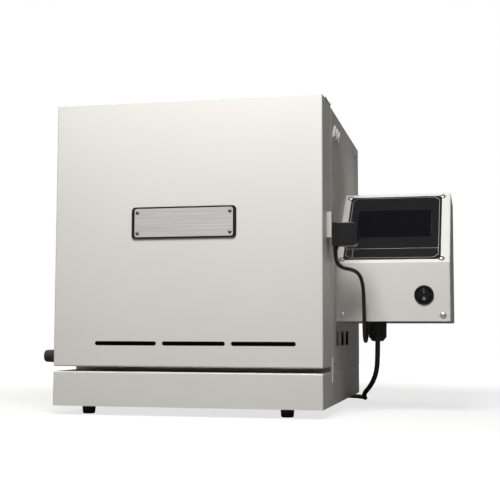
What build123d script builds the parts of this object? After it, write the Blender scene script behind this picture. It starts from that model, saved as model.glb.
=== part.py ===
"""Bench-top wax burnout kiln with a top-hinged door and a control box on its side.

Row frame: +X to the right seen from the front, +Y from front to back, +Z up.
The origin is on the table, in the middle of the kiln with its control box and knob.
All lengths are in millimetres.
"""
import os
from math import asin, atan2, cos, pi, radians, sin, tan

from build123d import *

# Kiln body and door
kiln_width = 356.0
kiln_depth = 406.0
sheet = 1.5
edge_radius = 2.0
foot_height = 11.5
base_height = 44.7
base_gap = 6.3
body_height = 346.3
door_depth = 75.5
seam_gap = 3.0
fit = 0.3

# What stands proud of the sheet-metal box
knob_reach = 15.5
box_width = 153.0
nameplate_pad = 2.0
screw_dome = 1.6
rear_dome = 2.2

# Chamber and lining
chamber_width = 230.0
chamber_height = 230.0
floor_lining = 50.0
back_lining = 50.0
side_air_gap = 11.5
roof_air_gap = 13.3
rear_space = 24.5
frame_margin = 15.0

# Where the kiln stands in the row frame
kiln_x = (knob_reach - box_width) / 2
front_reach = nameplate_pad + screw_dome
front_y = (front_reach - rear_dome - kiln_depth) / 2

left_x = kiln_x - kiln_width / 2
right_x = kiln_x + kiln_width / 2
door_back_y = front_y + door_depth
body_front_y = door_back_y + seam_gap
back_y = front_y + kiln_depth
base_bottom = foot_height
base_top = base_bottom + base_height
body_bottom = base_top + base_gap
body_top = body_bottom + body_height
inner_width = kiln_width - 2 * sheet
body_mid_z = (body_bottom + body_top) / 2
case_height = body_top - base_top
case_mid_z = (base_top + body_top) / 2

lining_front_y = body_front_y + sheet
lining_back_y = back_y - sheet - rear_space
chamber_back_y = lining_back_y - back_lining
side_lining = (inner_width - 2 * side_air_gap - chamber_width) / 2
lining_width = chamber_width + 2 * side_lining
chamber_left = kiln_x - chamber_width / 2
chamber_right = kiln_x + chamber_width / 2
lining_floor_z = body_bottom + sheet
chamber_floor_z = lining_floor_z + floor_lining
chamber_roof_z = chamber_floor_z + chamber_height
lining_roof_z = body_top - sheet - roof_air_gap
chamber_mid_z = (chamber_floor_z + chamber_roof_z) / 2


def span(x, y, z, mode=Mode.ADD):
    """Straight-sided block between two corners, each axis given as (low, high)."""
    with Locations(((x[0] + x[1]) / 2, (y[0] + y[1]) / 2, (z[0] + z[1]) / 2)):
        Box(x[1] - x[0], y[1] - y[0], z[1] - z[0], mode=mode)


def place(piece, origins, direction, mode=Mode.ADD):
    """Copies of a finished piece, each on its own origin with +Z along the direction."""
    with Locations(*[Plane(origin=spot, z_dir=direction).location for spot in origins]):
        add(piece, mode=mode)


def dome_screw(head_diameter, head_height, shank_diameter, shank_length, recess=0.22):
    """Domed screw with a cross recess, seated on z = 0 with its shank downwards."""
    head_radius = head_diameter / 2
    arc_radius = (head_radius**2 + head_height**2) / (2 * head_height)
    half_angle = asin(head_radius / arc_radius) / 2
    arc_middle = (arc_radius * sin(half_angle), head_height - arc_radius * (1 - cos(half_angle)))
    with BuildPart() as screw:
        with BuildSketch(Plane.XZ):
            with BuildLine():
                Polyline(
                    (0, head_height),
                    (0, -shank_length),
                    (shank_diameter / 2, -shank_length),
                    (shank_diameter / 2, 0),
                    (head_radius, 0),
                )
                ThreePointArc((head_radius, 0), arc_middle, (0, head_height))
            make_face()
        revolve(axis=Axis.Z)
        with BuildSketch(Plane.XY.offset(head_height)):
            Rectangle(head_radius, head_diameter * recess / 2)
            Rectangle(head_diameter * recess / 2, head_radius)
        extrude(amount=-head_height * 0.6, mode=Mode.SUBTRACT)
    return screw.part


def countersunk_screw(head_diameter, shank_diameter, shank_length):
    """Flat-headed screw whose head is flush with z = 0 and points down."""
    head_depth = (head_diameter - shank_diameter) / 2
    with BuildPart() as screw:
        with BuildSketch(Plane.XZ):
            with BuildLine():
                Polyline(
                    (0, 0),
                    (0, -shank_length),
                    (shank_diameter / 2, -shank_length),
                    (shank_diameter / 2, -head_depth),
                    (head_diameter / 2, 0),
                    (0, 0),
                )
            make_face()
        revolve(axis=Axis.Z)
        with BuildSketch(Plane.XY):
            Rectangle(head_diameter * 0.5, head_diameter * 0.12)
            Rectangle(head_diameter * 0.12, head_diameter * 0.5)
        extrude(amount=-head_depth * 0.7, mode=Mode.SUBTRACT)
    return screw.part


def drill(origins, direction, diameter, depth):
    """Round holes cut from each origin against the direction."""
    with Locations(*[Plane(origin=spot, z_dir=direction).location for spot in origins]):
        Hole(diameter / 2, depth)


def corner_radii(points):
    """Radius of each corner of a cord's route, as large as its two runs allow."""
    runs = [Vector(*b) - Vector(*a) for a, b in zip(points, points[1:])]
    radii = []
    for before, after in zip(runs, runs[1:]):
        turn = radians(before.get_angle(after))
        radii.append(0.45 * min(before.length, after.length) / tan(turn / 2))
    return radii


def cord_tube(points, diameter, name):
    """Round cord along straight runs joined by tangent arcs."""
    radii = corner_radii(points)
    print(name, "radii", [round(radius, 1) for radius in radii])
    with BuildPart() as tube:
        with BuildLine():
            route = FilletPolyline(*points, radius=radii)
        with BuildSketch(Plane(origin=route @ 0, z_dir=route % 0)):
            Circle(diameter / 2)
        sweep()
    ideal = pi * diameter**2 / 4 * route.length
    print(name, "length", round(route.length, 1), "volume ratio", round(tube.part.volume / ideal, 4))
    return tube.part


# Screw places and sizes that more than one sheet shares
sides = ((left_x, -1), (right_x, 1))
hole_gap = 0.1
screw_thread = 4.0
thread_hole = screw_thread + 2 * hole_gap
screw_bite = 3.0

# Base: a folded tray standing upside down on four rubber feet
base_flange = 62.0
foot_top_diameter = 18.0
foot_tip_diameter = 16.0
foot_tip_radius = 2.0
foot_floor = 4.0
foot_recess_diameter = 9.5
foot_inset_left = 39.0
foot_inset_right = 50.0
foot_inset_y = 30.0
strap_start = 82.0
strap_width = 22.0
strap_drop = 14.0
strap_rise = 12.0
strap_screw_inset = 6.0

foot_spots = [
    (x, y)
    for x in (left_x + foot_inset_left, right_x - foot_inset_right)
    for y in (front_y + foot_inset_y, back_y - foot_inset_y)
]
strap_y = (front_y + strap_start, front_y + strap_start + strap_width)
strap_z = (base_top - strap_drop, body_bottom + strap_rise)
strap_mid_y = (strap_y[0] + strap_y[1]) / 2
strap_screw_z = (strap_z[0] + strap_screw_inset, strap_z[1] - strap_screw_inset)

with BuildPart() as base_pan:
    with BuildSketch(Plane.XY.offset(base_bottom)):
        with Locations((kiln_x, (front_y + back_y) / 2)):
            RectangleRounded(kiln_width, kiln_depth, edge_radius)
    extrude(amount=base_height)
    fillet(base_pan.faces().sort_by(Axis.Z)[-1].edges(), edge_radius)
    offset(amount=-sheet, openings=base_pan.faces().sort_by(Axis.Z)[0])
    with BuildSketch(Plane.XY.offset(base_bottom)):
        with Locations((kiln_x, (front_y + back_y) / 2)):
            Rectangle(inner_width, kiln_depth - 2 * sheet)
            Rectangle(
                inner_width - 2 * base_flange,
                kiln_depth - 2 * sheet - 2 * base_flange,
                mode=Mode.SUBTRACT,
            )
    extrude(amount=sheet)
    drill([(x, y, base_bottom + sheet) for x, y in foot_spots], (0, 0, 1), thread_hole, sheet)
    for side_x, outward in sides:
        drill([(side_x, strap_mid_y, strap_screw_z[0])], (outward, 0, 0), thread_hole, sheet)
base_pan.part.label = "base_pan"

with BuildPart() as foot:
    with BuildSketch(Plane.XZ):
        with BuildLine():
            Polyline(
                (thread_hole / 2, 0),
                (foot_top_diameter / 2, 0),
                (foot_tip_diameter / 2, -foot_height),
                (foot_recess_diameter / 2, -foot_height),
                (foot_recess_diameter / 2, -foot_floor),
                (thread_hole / 2, -foot_floor),
                close=True,
            )
        rubber = make_face()
        fillet(rubber.vertices().group_by(Axis.Y)[0].sort_by(Axis.X)[-1], foot_tip_radius)
    revolve(axis=Axis.Z)

with BuildPart() as base_feet:
    place(foot.part, [(x, y, base_bottom) for x, y in foot_spots], (0, 0, 1))
base_feet.part.label = "base_feet"

# Spacers that hold the body's floor off the base
spacer_diameter = 22.0
spacer_inset_x = 60.0
spacer_inset_front = 115.0
spacer_inset_back = 55.0
spacer_spots = [
    (x, y, base_top)
    for x in (left_x + spacer_inset_x, right_x - spacer_inset_x)
    for y in (front_y + spacer_inset_front, back_y - spacer_inset_back)
]
with BuildPart() as body_spacers:
    with Locations(*spacer_spots):
        Cylinder(spacer_diameter / 2, base_gap, align=(Align.CENTER, Align.CENTER, Align.MIN))
body_spacers.part.label = "body_spacers"

# Straps that tie the body to the base on both sides, just behind the door
with BuildPart() as base_straps:
    for side_x, outward in sides:
        outer_x = side_x + outward * sheet
        span((min(side_x, outer_x), max(side_x, outer_x)), strap_y, strap_z)
    for side_x, outward in sides:
        spots = [(side_x + outward * sheet, strap_mid_y, z) for z in strap_screw_z]
        drill(spots, (outward, 0, 0), thread_hole, sheet)
base_straps.part.label = "base_straps"

# Top hinge: two leaves lying on the door and on the roof, with interleaved knuckles
hinge_leaf = 2.2
hinge_fold_gap = 0.15
hinge_knuckle_radius = 2.45
hinge_pin_radius = 1.2
hinge_running_gap = 0.05
hinge_knuckles = 11
hinge_knuckle_gap = 0.6
hinge_door_reach = 49.0
hinge_body_reach = 45.0
hinge_edge_gap = 0.5
hinge_lip = 25.0
hinge_lip_lift = 0.9
hinge_screw_head = 6.4
hinge_screw_thread = 3.0
hinge_screw_bite = 8.0
hinge_axis_y = door_back_y + seam_gap / 2
hinge_axis_z = body_top + hinge_leaf + hinge_fold_gap
knuckle_pitch = kiln_width / hinge_knuckles
hinge_leaf_top = body_top + hinge_leaf
door_screw_y = hinge_axis_y - hinge_door_reach + hinge_lip + (hinge_door_reach - hinge_lip) / 2
body_screw_y = hinge_axis_y + hinge_body_reach * 0.6
door_hinge_spots = [
    (left_x + (index + 0.5) * knuckle_pitch, door_screw_y, hinge_leaf_top)
    for index in range(0, hinge_knuckles, 2)
]
body_hinge_spots = [
    (left_x + (index + 0.5) * knuckle_pitch, body_screw_y, hinge_leaf_top)
    for index in range(1, hinge_knuckles, 2)
]

# Control box on the right side: place, profile and what fastens it
box_set_back = 122.0
box_depth = 268.0
box_rise = 111.0
box_front_height = 79.5
box_height = 188.0
box_slope_run = 121.0
box_front_y = front_y + box_set_back
box_back_y = box_front_y + box_depth
box_bottom = base_bottom + box_rise
box_fold_z = box_bottom + box_front_height
box_top = box_bottom + box_height
box_slope_y = box_front_y + box_slope_run
box_right = right_x + box_width
grommet_hole = 20.0
grommet_inset_y = 40.0
grommet_rise = 70.0
grommet_spot = (box_back_y - grommet_inset_y, box_bottom + grommet_rise)
mount_screw_inset_y = 22.0
mount_screw_low = 30.0
mount_screw_high = 150.0
mount_screw_spots = [
    (box_slope_y + mount_screw_inset_y, box_bottom + mount_screw_low),
    (box_slope_y + mount_screw_inset_y, box_bottom + mount_screw_high),
    (box_back_y - mount_screw_inset_y, box_bottom + mount_screw_low),
    (box_back_y - mount_screw_inset_y, box_bottom + mount_screw_high),
]

# Door switch bracket on the right side: where its screws go
bracket_front = 33.0
bracket_stand_off = 5.0
bracket_joggle_start = 90.0
bracket_joggle_end = 98.0
bracket_length = 108.0
bracket_rise = 166.0
bracket_height = 33.0
bracket_screw_front = 65.0
bracket_screw_rear = 114.0
bracket_screw_drop_front = 6.0
bracket_screw_drop_rear = 3.8
bracket_screw_head = 6.0
bracket_screw_dome = 1.5
bracket_top = body_bottom + bracket_rise + bracket_height
bracket_screw_rear_spot = (front_y + bracket_screw_rear, bracket_top - bracket_screw_drop_rear)

# Body casing: one sheet folded over the left side, the roof and the right side
rear_flange = 16.0
louvre_count = 3
louvre_length = 28.0
louvre_width = 7.0
louvre_lift = 2.6
louvre_pitch = 22.8
louvre_start = 104.8
louvre_drop = 29.6
louvre_lean = 45.0
louvre_taper = 35.0
louvre_skin = 0.9
vent_count = 3
vent_length = 40.0
vent_height = 20.0
vent_radius = 3.0
vent_pitch = 52.5
vent_start = 144.0
vent_rise = 37.0
rail_screw_y = (311.6, 356.8)
rail_screw_drop = 20.5
casing_screw_head = 8.0
rear_screw_inset = 9.0

louvre_spots = [
    (front_y + louvre_start + index * louvre_pitch, body_top - louvre_drop)
    for index in range(louvre_count)
]
vent_spots = [
    (front_y + vent_start + index * vent_pitch, body_bottom + vent_rise)
    for index in range(vent_count)
]
rail_screw_spots = [(front_y + y, body_top - rail_screw_drop) for y in rail_screw_y]
rear_screw_x = kiln_width / 2 - rear_screw_inset
rear_screw_z = body_height / 2 - rear_screw_inset
rear_screw_spots = [
    (kiln_x + column * rear_screw_x, body_mid_z + row * rear_screw_z)
    for column in (-1, 0, 1)
    for row in (-1, 0, 1)
    if (column, row) != (0, 0)
]
floor_screw_spot = (kiln_x, body_mid_z - rear_screw_z)
casing_screw_spots = [spot for spot in rear_screw_spots if spot != floor_screw_spot]

# One louvre, pressed outwards along local X and open towards local -Y
mouth_depth = louvre_lift - louvre_skin
with BuildPart() as louvre_skin_part:
    with BuildSketch(Plane.XY):
        SlotOverall(louvre_length, louvre_width)
    extrude(amount=louvre_lift, taper=louvre_taper)
with BuildPart() as louvre_void:
    with BuildSketch(Plane.XY):
        SlotOverall(louvre_length - 2 * louvre_skin, louvre_width - 2 * louvre_skin)
    extrude(amount=mouth_depth, taper=louvre_taper)
    with BuildSketch(Plane.XY):
        SlotOverall(louvre_length - 2 * louvre_skin, louvre_width - 2 * louvre_skin)
    extrude(amount=-sheet)
    mouth_width = louvre_length - louvre_width
    span((-mouth_width / 2, mouth_width / 2), (-louvre_width, 0), (0, mouth_depth))

louvre_run = Vector(0, cos(radians(louvre_lean)), sin(radians(louvre_lean)))
louvre_planes = [
    Plane(origin=(side_x, y, z), x_dir=louvre_run * outward, z_dir=(outward, 0, 0))
    for side_x, outward in sides
    for y, z in louvre_spots
]

with BuildPart() as body_casing:
    with BuildSketch(Plane.XZ.offset(-body_front_y)) as wrap:
        with Locations((kiln_x, case_mid_z)):
            Rectangle(kiln_width, case_height)
        fillet(wrap.vertices().group_by(Axis.Y)[-1], edge_radius)
        with Locations((kiln_x, case_mid_z - sheet / 2)):
            Rectangle(inner_width, case_height - sheet, mode=Mode.SUBTRACT)
    extrude(amount=body_front_y - (back_y - sheet))
    with BuildSketch(Plane.XZ.offset(2 * sheet - back_y)):
        with Locations((kiln_x, case_mid_z - sheet / 2)):
            Rectangle(inner_width, case_height - sheet)
        with Locations((kiln_x, case_mid_z - sheet / 2 - rear_flange / 2)):
            Rectangle(
                inner_width - 2 * rear_flange, case_height - sheet - rear_flange, mode=Mode.SUBTRACT
            )
    extrude(amount=-sheet)
    with Locations(*[plane.location for plane in louvre_planes]):
        add(louvre_skin_part.part)
    with Locations(*[plane.location for plane in louvre_planes]):
        add(louvre_void.part, mode=Mode.SUBTRACT)
    with BuildSketch(Plane.YZ.offset(left_x)):
        with Locations(*vent_spots):
            RectangleRounded(vent_length, vent_height, vent_radius)
    extrude(amount=kiln_width, mode=Mode.SUBTRACT)
    for side_x, outward in sides:
        spots = [(side_x, y, z) for y, z in rail_screw_spots]
        drill(spots + [(side_x, strap_mid_y, strap_screw_z[1])], (outward, 0, 0), thread_hole, sheet)
    drill([(x, back_y - sheet, z) for x, z in casing_screw_spots], (0, 1, 0), thread_hole, sheet)
    drill([(right_x, y, z) for y, z in mount_screw_spots], (1, 0, 0), thread_hole, sheet)
    drill([(right_x, *bracket_screw_rear_spot)], (1, 0, 0), thread_hole, sheet)
    drill([(right_x, *grommet_spot)], (1, 0, 0), grommet_hole, sheet)
    roof_spots = [(x, y, body_top) for x, y, z in body_hinge_spots]
    drill(roof_spots, (0, 0, 1), hinge_screw_thread + 2 * hole_gap, sheet)
body_casing.part.label = "body_casing"

# Body floor: a tray whose edges stand up inside the casing
tray_lip = 16.0
tray_front_y = body_front_y + sheet
tray_back_y = back_y - 2 * sheet
with BuildPart() as body_floor:
    with BuildSketch(Plane.XZ.offset(-tray_front_y)):
        with Locations((kiln_x, body_bottom + tray_lip / 2)):
            Rectangle(inner_width, tray_lip)
        with Locations((kiln_x, body_bottom + sheet + tray_lip / 2)):
            Rectangle(inner_width - 2 * sheet, tray_lip, mode=Mode.SUBTRACT)
    extrude(amount=tray_front_y - tray_back_y)
    with BuildSketch(Plane.XZ.offset(-tray_back_y)):
        with Locations((kiln_x, body_bottom + tray_lip / 2)):
            Rectangle(inner_width - 2 * rear_flange - 2 * fit, tray_lip)
    extrude(amount=-sheet)
    floor_hole = (floor_screw_spot[0], back_y - sheet, floor_screw_spot[1])
    drill([floor_hole], (0, 1, 0), thread_hole, sheet)
    for side_x, outward in sides:
        inner_x = side_x - outward * sheet
        drill([(inner_x, strap_mid_y, strap_screw_z[1])], (outward, 0, 0), thread_hole, sheet)
body_floor.part.label = "body_floor"

# Back panel with cooling slots over and under the fume outlet
slot_length = 40.0
slot_height = 5.0
slot_columns = 5
slot_rows = 3
slot_pitch_x = 52.0
slot_pitch_z = 14.0
slot_band = 120.0
vent_tube_diameter = 22.0
vent_tube_bore = 14.0
vent_tube_offset = 55.0
vent_tube_drop = 40.0
vent_tube_spot = (kiln_x + vent_tube_offset, chamber_roof_z - vent_tube_drop)

with BuildPart() as back_panel:
    with BuildSketch(Plane.XZ.offset(sheet - back_y)) as rear:
        with Locations((kiln_x, case_mid_z)):
            Rectangle(kiln_width, case_height)
        fillet(rear.vertices().group_by(Axis.Y)[-1], edge_radius)
        with Locations((kiln_x, body_mid_z - slot_band), (kiln_x, body_mid_z + slot_band)):
            with GridLocations(slot_pitch_x, slot_pitch_z, slot_columns, slot_rows):
                SlotOverall(slot_length, slot_height, mode=Mode.SUBTRACT)
        with Locations(vent_tube_spot):
            Circle(vent_tube_diameter / 2 + fit, mode=Mode.SUBTRACT)
        with Locations(*rear_screw_spots):
            Circle(thread_hole / 2, mode=Mode.SUBTRACT)
    extrude(amount=-sheet)
back_panel.part.label = "back_panel"

# Front frame: the bright sheet that the door's gasket closes on
frame_opening = chamber_width + 2 * frame_margin
frame_opening_height = chamber_height + 2 * frame_margin
frame_corner = 8.0
with BuildPart() as front_frame:
    with BuildSketch(Plane.XZ.offset(-body_front_y)):
        with Locations((kiln_x, case_mid_z - sheet / 2)):
            Rectangle(inner_width, case_height - sheet)
        with Locations((kiln_x, chamber_mid_z)):
            RectangleRounded(
                frame_opening, frame_opening_height, frame_corner, mode=Mode.SUBTRACT
            )
    extrude(amount=-sheet)
front_frame.part.label = "front_frame"

# Heating elements: coils laid in hairpin grooves of the two side slabs
element_diameter = 9.0
element_pitch = 36.0
element_runs = 6
element_cover = 3.5
element_front_inset = 20.0
element_back_inset = 12.0
element_tail = 12.0
groove_width = element_diameter + 2 * fit
turn_radius = element_pitch / 2
front_turn_y = lining_front_y + element_front_inset + turn_radius
back_turn_y = chamber_back_y - element_back_inset - turn_radius
run_heights = [
    chamber_mid_z + (index - (element_runs - 1) / 2) * element_pitch for index in range(element_runs)
]


def hairpin(plane, tail_y):
    """Centre line of an element: in from the back, to and fro, and out at the back."""
    with BuildLine(plane) as path:
        for index, height in enumerate(run_heights):
            rear_y = tail_y if index in (0, element_runs - 1) else back_turn_y
            Line((front_turn_y, height), (rear_y, height))
        for index, (low, high) in enumerate(zip(run_heights, run_heights[1:])):
            turn_y = front_turn_y if index % 2 == 0 else back_turn_y
            crown_y = turn_y - turn_radius if index % 2 == 0 else turn_y + turn_radius
            ThreePointArc((turn_y, low), (crown_y, (low + high) / 2), (turn_y, high))
    return path.line.edges()


def side_slab(inner_face_x, outward):
    """Side lining with its element groove, open to the chamber and to the back."""
    outer_face_x = inner_face_x + outward * side_lining
    groove_depth = element_cover + element_diameter + fit
    with BuildPart() as slab:
        span(
            (min(inner_face_x, outer_face_x), max(inner_face_x, outer_face_x)),
            (lining_front_y, lining_back_y),
            (chamber_floor_z, chamber_roof_z),
        )
        with BuildSketch(Plane.YZ.offset(inner_face_x)) as groove:
            trace(hairpin(Plane.XY, lining_back_y + element_tail), groove_width)
        extrude(groove.sketch, amount=outward * groove_depth, mode=Mode.SUBTRACT)
    return slab.part


def heating_element(inner_face_x, outward):
    """One element coil, drawn as a bar of the coil's outside diameter."""
    bar_x = inner_face_x + outward * (element_cover + element_diameter / 2)
    centre_line = Wire(hairpin(Plane.YZ.offset(bar_x), lining_back_y + element_tail))
    with BuildPart() as bar:
        with BuildSketch(Plane(origin=centre_line @ 0, z_dir=centre_line % 0)) as section:
            Circle(element_diameter / 2)
        sweep(section.sketch, path=centre_line)
    return bar.part


lining_left = side_slab(chamber_left, -1)
lining_left.label = "lining_left"
lining_right = side_slab(chamber_right, 1)
lining_right.label = "lining_right"
with BuildPart() as heating_elements:
    add(heating_element(chamber_left, -1))
    add(heating_element(chamber_right, 1))
heating_elements.part.label = "heating_elements"

lining_x = (kiln_x - lining_width / 2, kiln_x + lining_width / 2)
with BuildPart() as lining_floor:
    span(lining_x, (lining_front_y, lining_back_y), (lining_floor_z, chamber_floor_z))
lining_floor.part.label = "lining_floor"
with BuildPart() as lining_roof:
    span(lining_x, (lining_front_y, lining_back_y), (chamber_roof_z, lining_roof_z))
lining_roof.part.label = "lining_roof"

# Back slab, pierced for the thermocouple and the fume outlet
sheath_diameter = 6.0
sheath_reach = 22.0
probe_drop = 32.0
probe_head_diameter = 22.0
probe_head_depth = 16.0
probe_spot = (kiln_x, chamber_roof_z - probe_drop)
with BuildPart() as lining_back:
    with BuildSketch(Plane.XZ.offset(-chamber_back_y)):
        with Locations((kiln_x, chamber_mid_z)):
            Rectangle(chamber_width, chamber_height)
        with Locations(probe_spot):
            Circle(sheath_diameter / 2 + fit, mode=Mode.SUBTRACT)
        with Locations(vent_tube_spot):
            Circle(vent_tube_diameter / 2 + fit, mode=Mode.SUBTRACT)
    extrude(amount=-back_lining)
lining_back.part.label = "lining_back"

with BuildPart() as thermocouple:
    with BuildSketch(Plane.XZ.offset(sheath_reach - chamber_back_y)):
        with Locations(probe_spot):
            Circle(sheath_diameter / 2)
    extrude(amount=-sheath_reach - back_lining - probe_head_depth / 2)
    fillet(thermocouple.faces().sort_by(Axis.Y)[0].edges(), sheath_diameter / 4)
    with BuildSketch(Plane.XZ.offset(-lining_back_y)):
        with Locations(probe_spot):
            Circle(probe_head_diameter / 2)
    extrude(amount=-probe_head_depth)
    chamfer(thermocouple.faces().sort_by(Axis.Y)[-1].edges(), 2.0)
thermocouple.part.label = "thermocouple"

with BuildPart() as vent_tube:
    with BuildSketch(Plane.XZ.offset(-chamber_back_y)):
        with Locations(vent_tube_spot):
            Circle(vent_tube_diameter / 2)
            Circle(vent_tube_bore / 2, mode=Mode.SUBTRACT)
    extrude(amount=chamber_back_y - back_y - rear_dome)
vent_tube.part.label = "vent_tube"

# Ceramic terminal blocks that hold the four element tails behind the lining
terminal_width = 24.0
terminal_depth = 16.0
terminal_height = 18.0
terminal_chamfer = 2.0
tail_x = chamber_width / 2 + element_cover + element_diameter / 2
tail_spots = [
    (kiln_x + side * tail_x, height) for side in (-1, 1) for height in (run_heights[0], run_heights[-1])
]
with BuildPart() as terminal_blocks:
    with BuildSketch(Plane.XZ.offset(-lining_back_y)):
        with Locations(*tail_spots):
            Rectangle(terminal_width, terminal_height)
            Circle(element_diameter / 2 + hole_gap, mode=Mode.SUBTRACT)
    extrude(amount=-terminal_depth)
    chamfer(terminal_blocks.faces().filter_by(Axis.Y).group_by(Axis.Y)[-1].edges(), terminal_chamfer)
terminal_blocks.part.label = "terminal_blocks"

# Rails on the casing that keep the roof slab in place
rail_height = 14.0
rail_reach = 26.0
rail_start = 230.0
rail_y = (front_y + rail_start, lining_back_y)
with BuildPart() as lining_rails:
    for side_x, outward in sides:
        wall_x = side_x - outward * sheet
        with BuildSketch(Plane.XZ.offset(-rail_y[0])) as angle:
            with BuildLine():
                Polyline(
                    (wall_x, lining_roof_z + sheet),
                    (wall_x, lining_roof_z - rail_height),
                    (wall_x - outward * sheet, lining_roof_z - rail_height),
                    (wall_x - outward * sheet, lining_roof_z),
                    (wall_x - outward * rail_reach, lining_roof_z),
                    (wall_x - outward * rail_reach, lining_roof_z + sheet),
                    close=True,
                )
            make_face()
        extrude(amount=rail_y[0] - rail_y[1])
        spots = [(wall_x, y, z) for y, z in rail_screw_spots]
        drill(spots, (outward, 0, 0), thread_hole, sheet)
lining_rails.part.label = "lining_rails"

# Hearth plate on four short posts
post_diameter = 19.0
post_height = 12.7
post_inset = 24.0
hearth_width = 200.0
hearth_depth = 200.0
hearth_thickness = 12.7
hearth_chamfer = 1.5
hearth_y = (lining_front_y + chamber_back_y) / 2
with BuildPart() as hearth_posts:
    with Locations((kiln_x, hearth_y, chamber_floor_z)):
        with GridLocations(hearth_width - 2 * post_inset, hearth_depth - 2 * post_inset, 2, 2):
            Cylinder(post_diameter / 2, post_height, align=(Align.CENTER, Align.CENTER, Align.MIN))
hearth_posts.part.label = "hearth_posts"
with BuildPart() as hearth_plate:
    with BuildSketch(Plane.XY.offset(chamber_floor_z + post_height)):
        with Locations((kiln_x, hearth_y)):
            RectangleRounded(hearth_width, hearth_depth, 4 * hearth_chamfer)
    extrude(amount=hearth_thickness)
    chamfer(hearth_plate.faces().sort_by(Axis.Z)[-1].edges(), hearth_chamfer)
hearth_plate.part.label = "hearth_plate"

# Door: a pan with cooling slots, an insulation block behind them and a bright inner frame
door_slot_length = 83.2
door_slot_height = 5.5
door_slot_pitch = 90.9
door_slot_count = 3
door_slot_offset = 11.5
door_slot_rise = 30.1
door_air_gap = 18.0
plug_gap = 2.5
plug_reach = 18.0
plug_taper = 7.0
inner_corner = edge_radius - sheet
door_slot_spots = [
    (kiln_x + door_slot_offset + (index - (door_slot_count - 1) / 2) * door_slot_pitch,
     body_bottom + door_slot_rise)
    for index in range(door_slot_count)
]

nameplate_width = 139.5
nameplate_height = 41.2
nameplate_corner = 5.0
nameplate_border = 4.1
nameplate_rim = 2.15
nameplate_shift = -2.2
nameplate_rise = 12.4
nameplate_recess = 1.0
nameplate_sheet = 1.2
nameplate_screw_pitch_x = 123.4
nameplate_screw_pitch_z = 26.8
nameplate_screw_head = 5.0
nameplate_screw_thread = 2.5
nameplate_spot = (kiln_x + nameplate_shift, body_mid_z + nameplate_rise)
nameplate_screw_spots = [
    (nameplate_spot[0] + side * nameplate_screw_pitch_x / 2,
     nameplate_spot[1] + row * nameplate_screw_pitch_z / 2)
    for side in (-1, 1)
    for row in (-1, 1)
]

knob_diameter = 17.0
knob_tip_diameter = 15.5
knob_tip_radius = 2.0
knob_inset_y = 11.0
knob_rise = 13.0
knob_screw_reach = 6.0

magnet_start = 42.0
magnet_length = 20.0
magnet_height = 13.0
magnet_thickness = 3.2
magnet_rise = 172.0

with BuildPart() as door_skin:
    with BuildSketch(Plane.XZ.offset(-door_back_y)):
        with Locations((kiln_x, body_mid_z)):
            RectangleRounded(kiln_width, body_height, edge_radius)
    extrude(amount=door_depth)
    fillet(door_skin.faces().sort_by(Axis.Y)[0].edges(), edge_radius)
    offset(amount=-sheet, openings=door_skin.faces().sort_by(Axis.Y)[-1])
    with BuildSketch(Plane.XZ.offset(-front_y)):
        with Locations(*door_slot_spots):
            SlotOverall(door_slot_length, door_slot_height)
        with Locations(*nameplate_screw_spots):
            Circle(nameplate_screw_thread / 2 + hole_gap)
    extrude(amount=-2 * sheet, mode=Mode.SUBTRACT)
    knob_spot = (left_x, front_y + knob_inset_y, body_bottom + knob_rise)
    drill([knob_spot], (-1, 0, 0), thread_hole, 2 * sheet)
    top_spots = [(x, y, body_top) for x, y, z in door_hinge_spots]
    drill(top_spots, (0, 0, 1), hinge_screw_thread + 2 * hole_gap, sheet)
door_skin.part.label = "door_skin"

block_front_y = front_y + sheet + door_air_gap
block_back_y = door_back_y - sheet
hinge_screw_clearance = hinge_screw_bite + fit
magnet_x = (right_x - sheet - magnet_thickness, right_x - sheet)
magnet_y = (front_y + magnet_start, front_y + magnet_start + magnet_length)
magnet_z = (body_bottom + magnet_rise, body_bottom + magnet_rise + magnet_height)
with BuildPart() as door_block:
    span(
        (left_x + sheet + fit, right_x - sheet - fit),
        (block_front_y, block_back_y),
        (body_bottom + sheet + fit, body_top - sheet - hinge_screw_clearance),
    )
    span(
        (magnet_x[0] - fit, magnet_x[1]),
        (magnet_y[0] - fit, magnet_y[1] + fit),
        (magnet_z[0] - fit, magnet_z[1] + fit),
        Mode.SUBTRACT,
    )
door_block.part.label = "door_block"

# Magnet behind the door's right side, read by the switch on the body
with BuildPart() as door_magnet:
    span(magnet_x, magnet_y, magnet_z)
    chamfer(door_magnet.faces().sort_by(Axis.X)[0].edges(), magnet_thickness / 4)
door_magnet.part.label = "door_magnet"

with BuildPart() as door_inner_frame:
    with BuildSketch(Plane.XZ.offset(-block_back_y)):
        with Locations((kiln_x, body_mid_z)):
            RectangleRounded(inner_width, body_height - 2 * sheet, inner_corner)
        with Locations((kiln_x, chamber_mid_z)):
            RectangleRounded(
                frame_opening, frame_opening_height, frame_corner, mode=Mode.SUBTRACT
            )
    extrude(amount=-sheet)
door_inner_frame.part.label = "door_inner_frame"

# Step of insulation that enters the chamber, narrowing towards its tip
plug_width = chamber_width - 2 * plug_gap
plug_height = chamber_height - 2 * plug_gap
with BuildPart() as door_plug:
    with BuildSketch(Plane.XZ.offset(-block_back_y)):
        with Locations((kiln_x, chamber_mid_z)):
            Rectangle(plug_width, plug_height)
    extrude(amount=block_back_y - lining_front_y)
    extrude(door_plug.faces().sort_by(Axis.Y)[-1], amount=plug_reach, taper=plug_taper)
door_plug.part.label = "door_plug"

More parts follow.
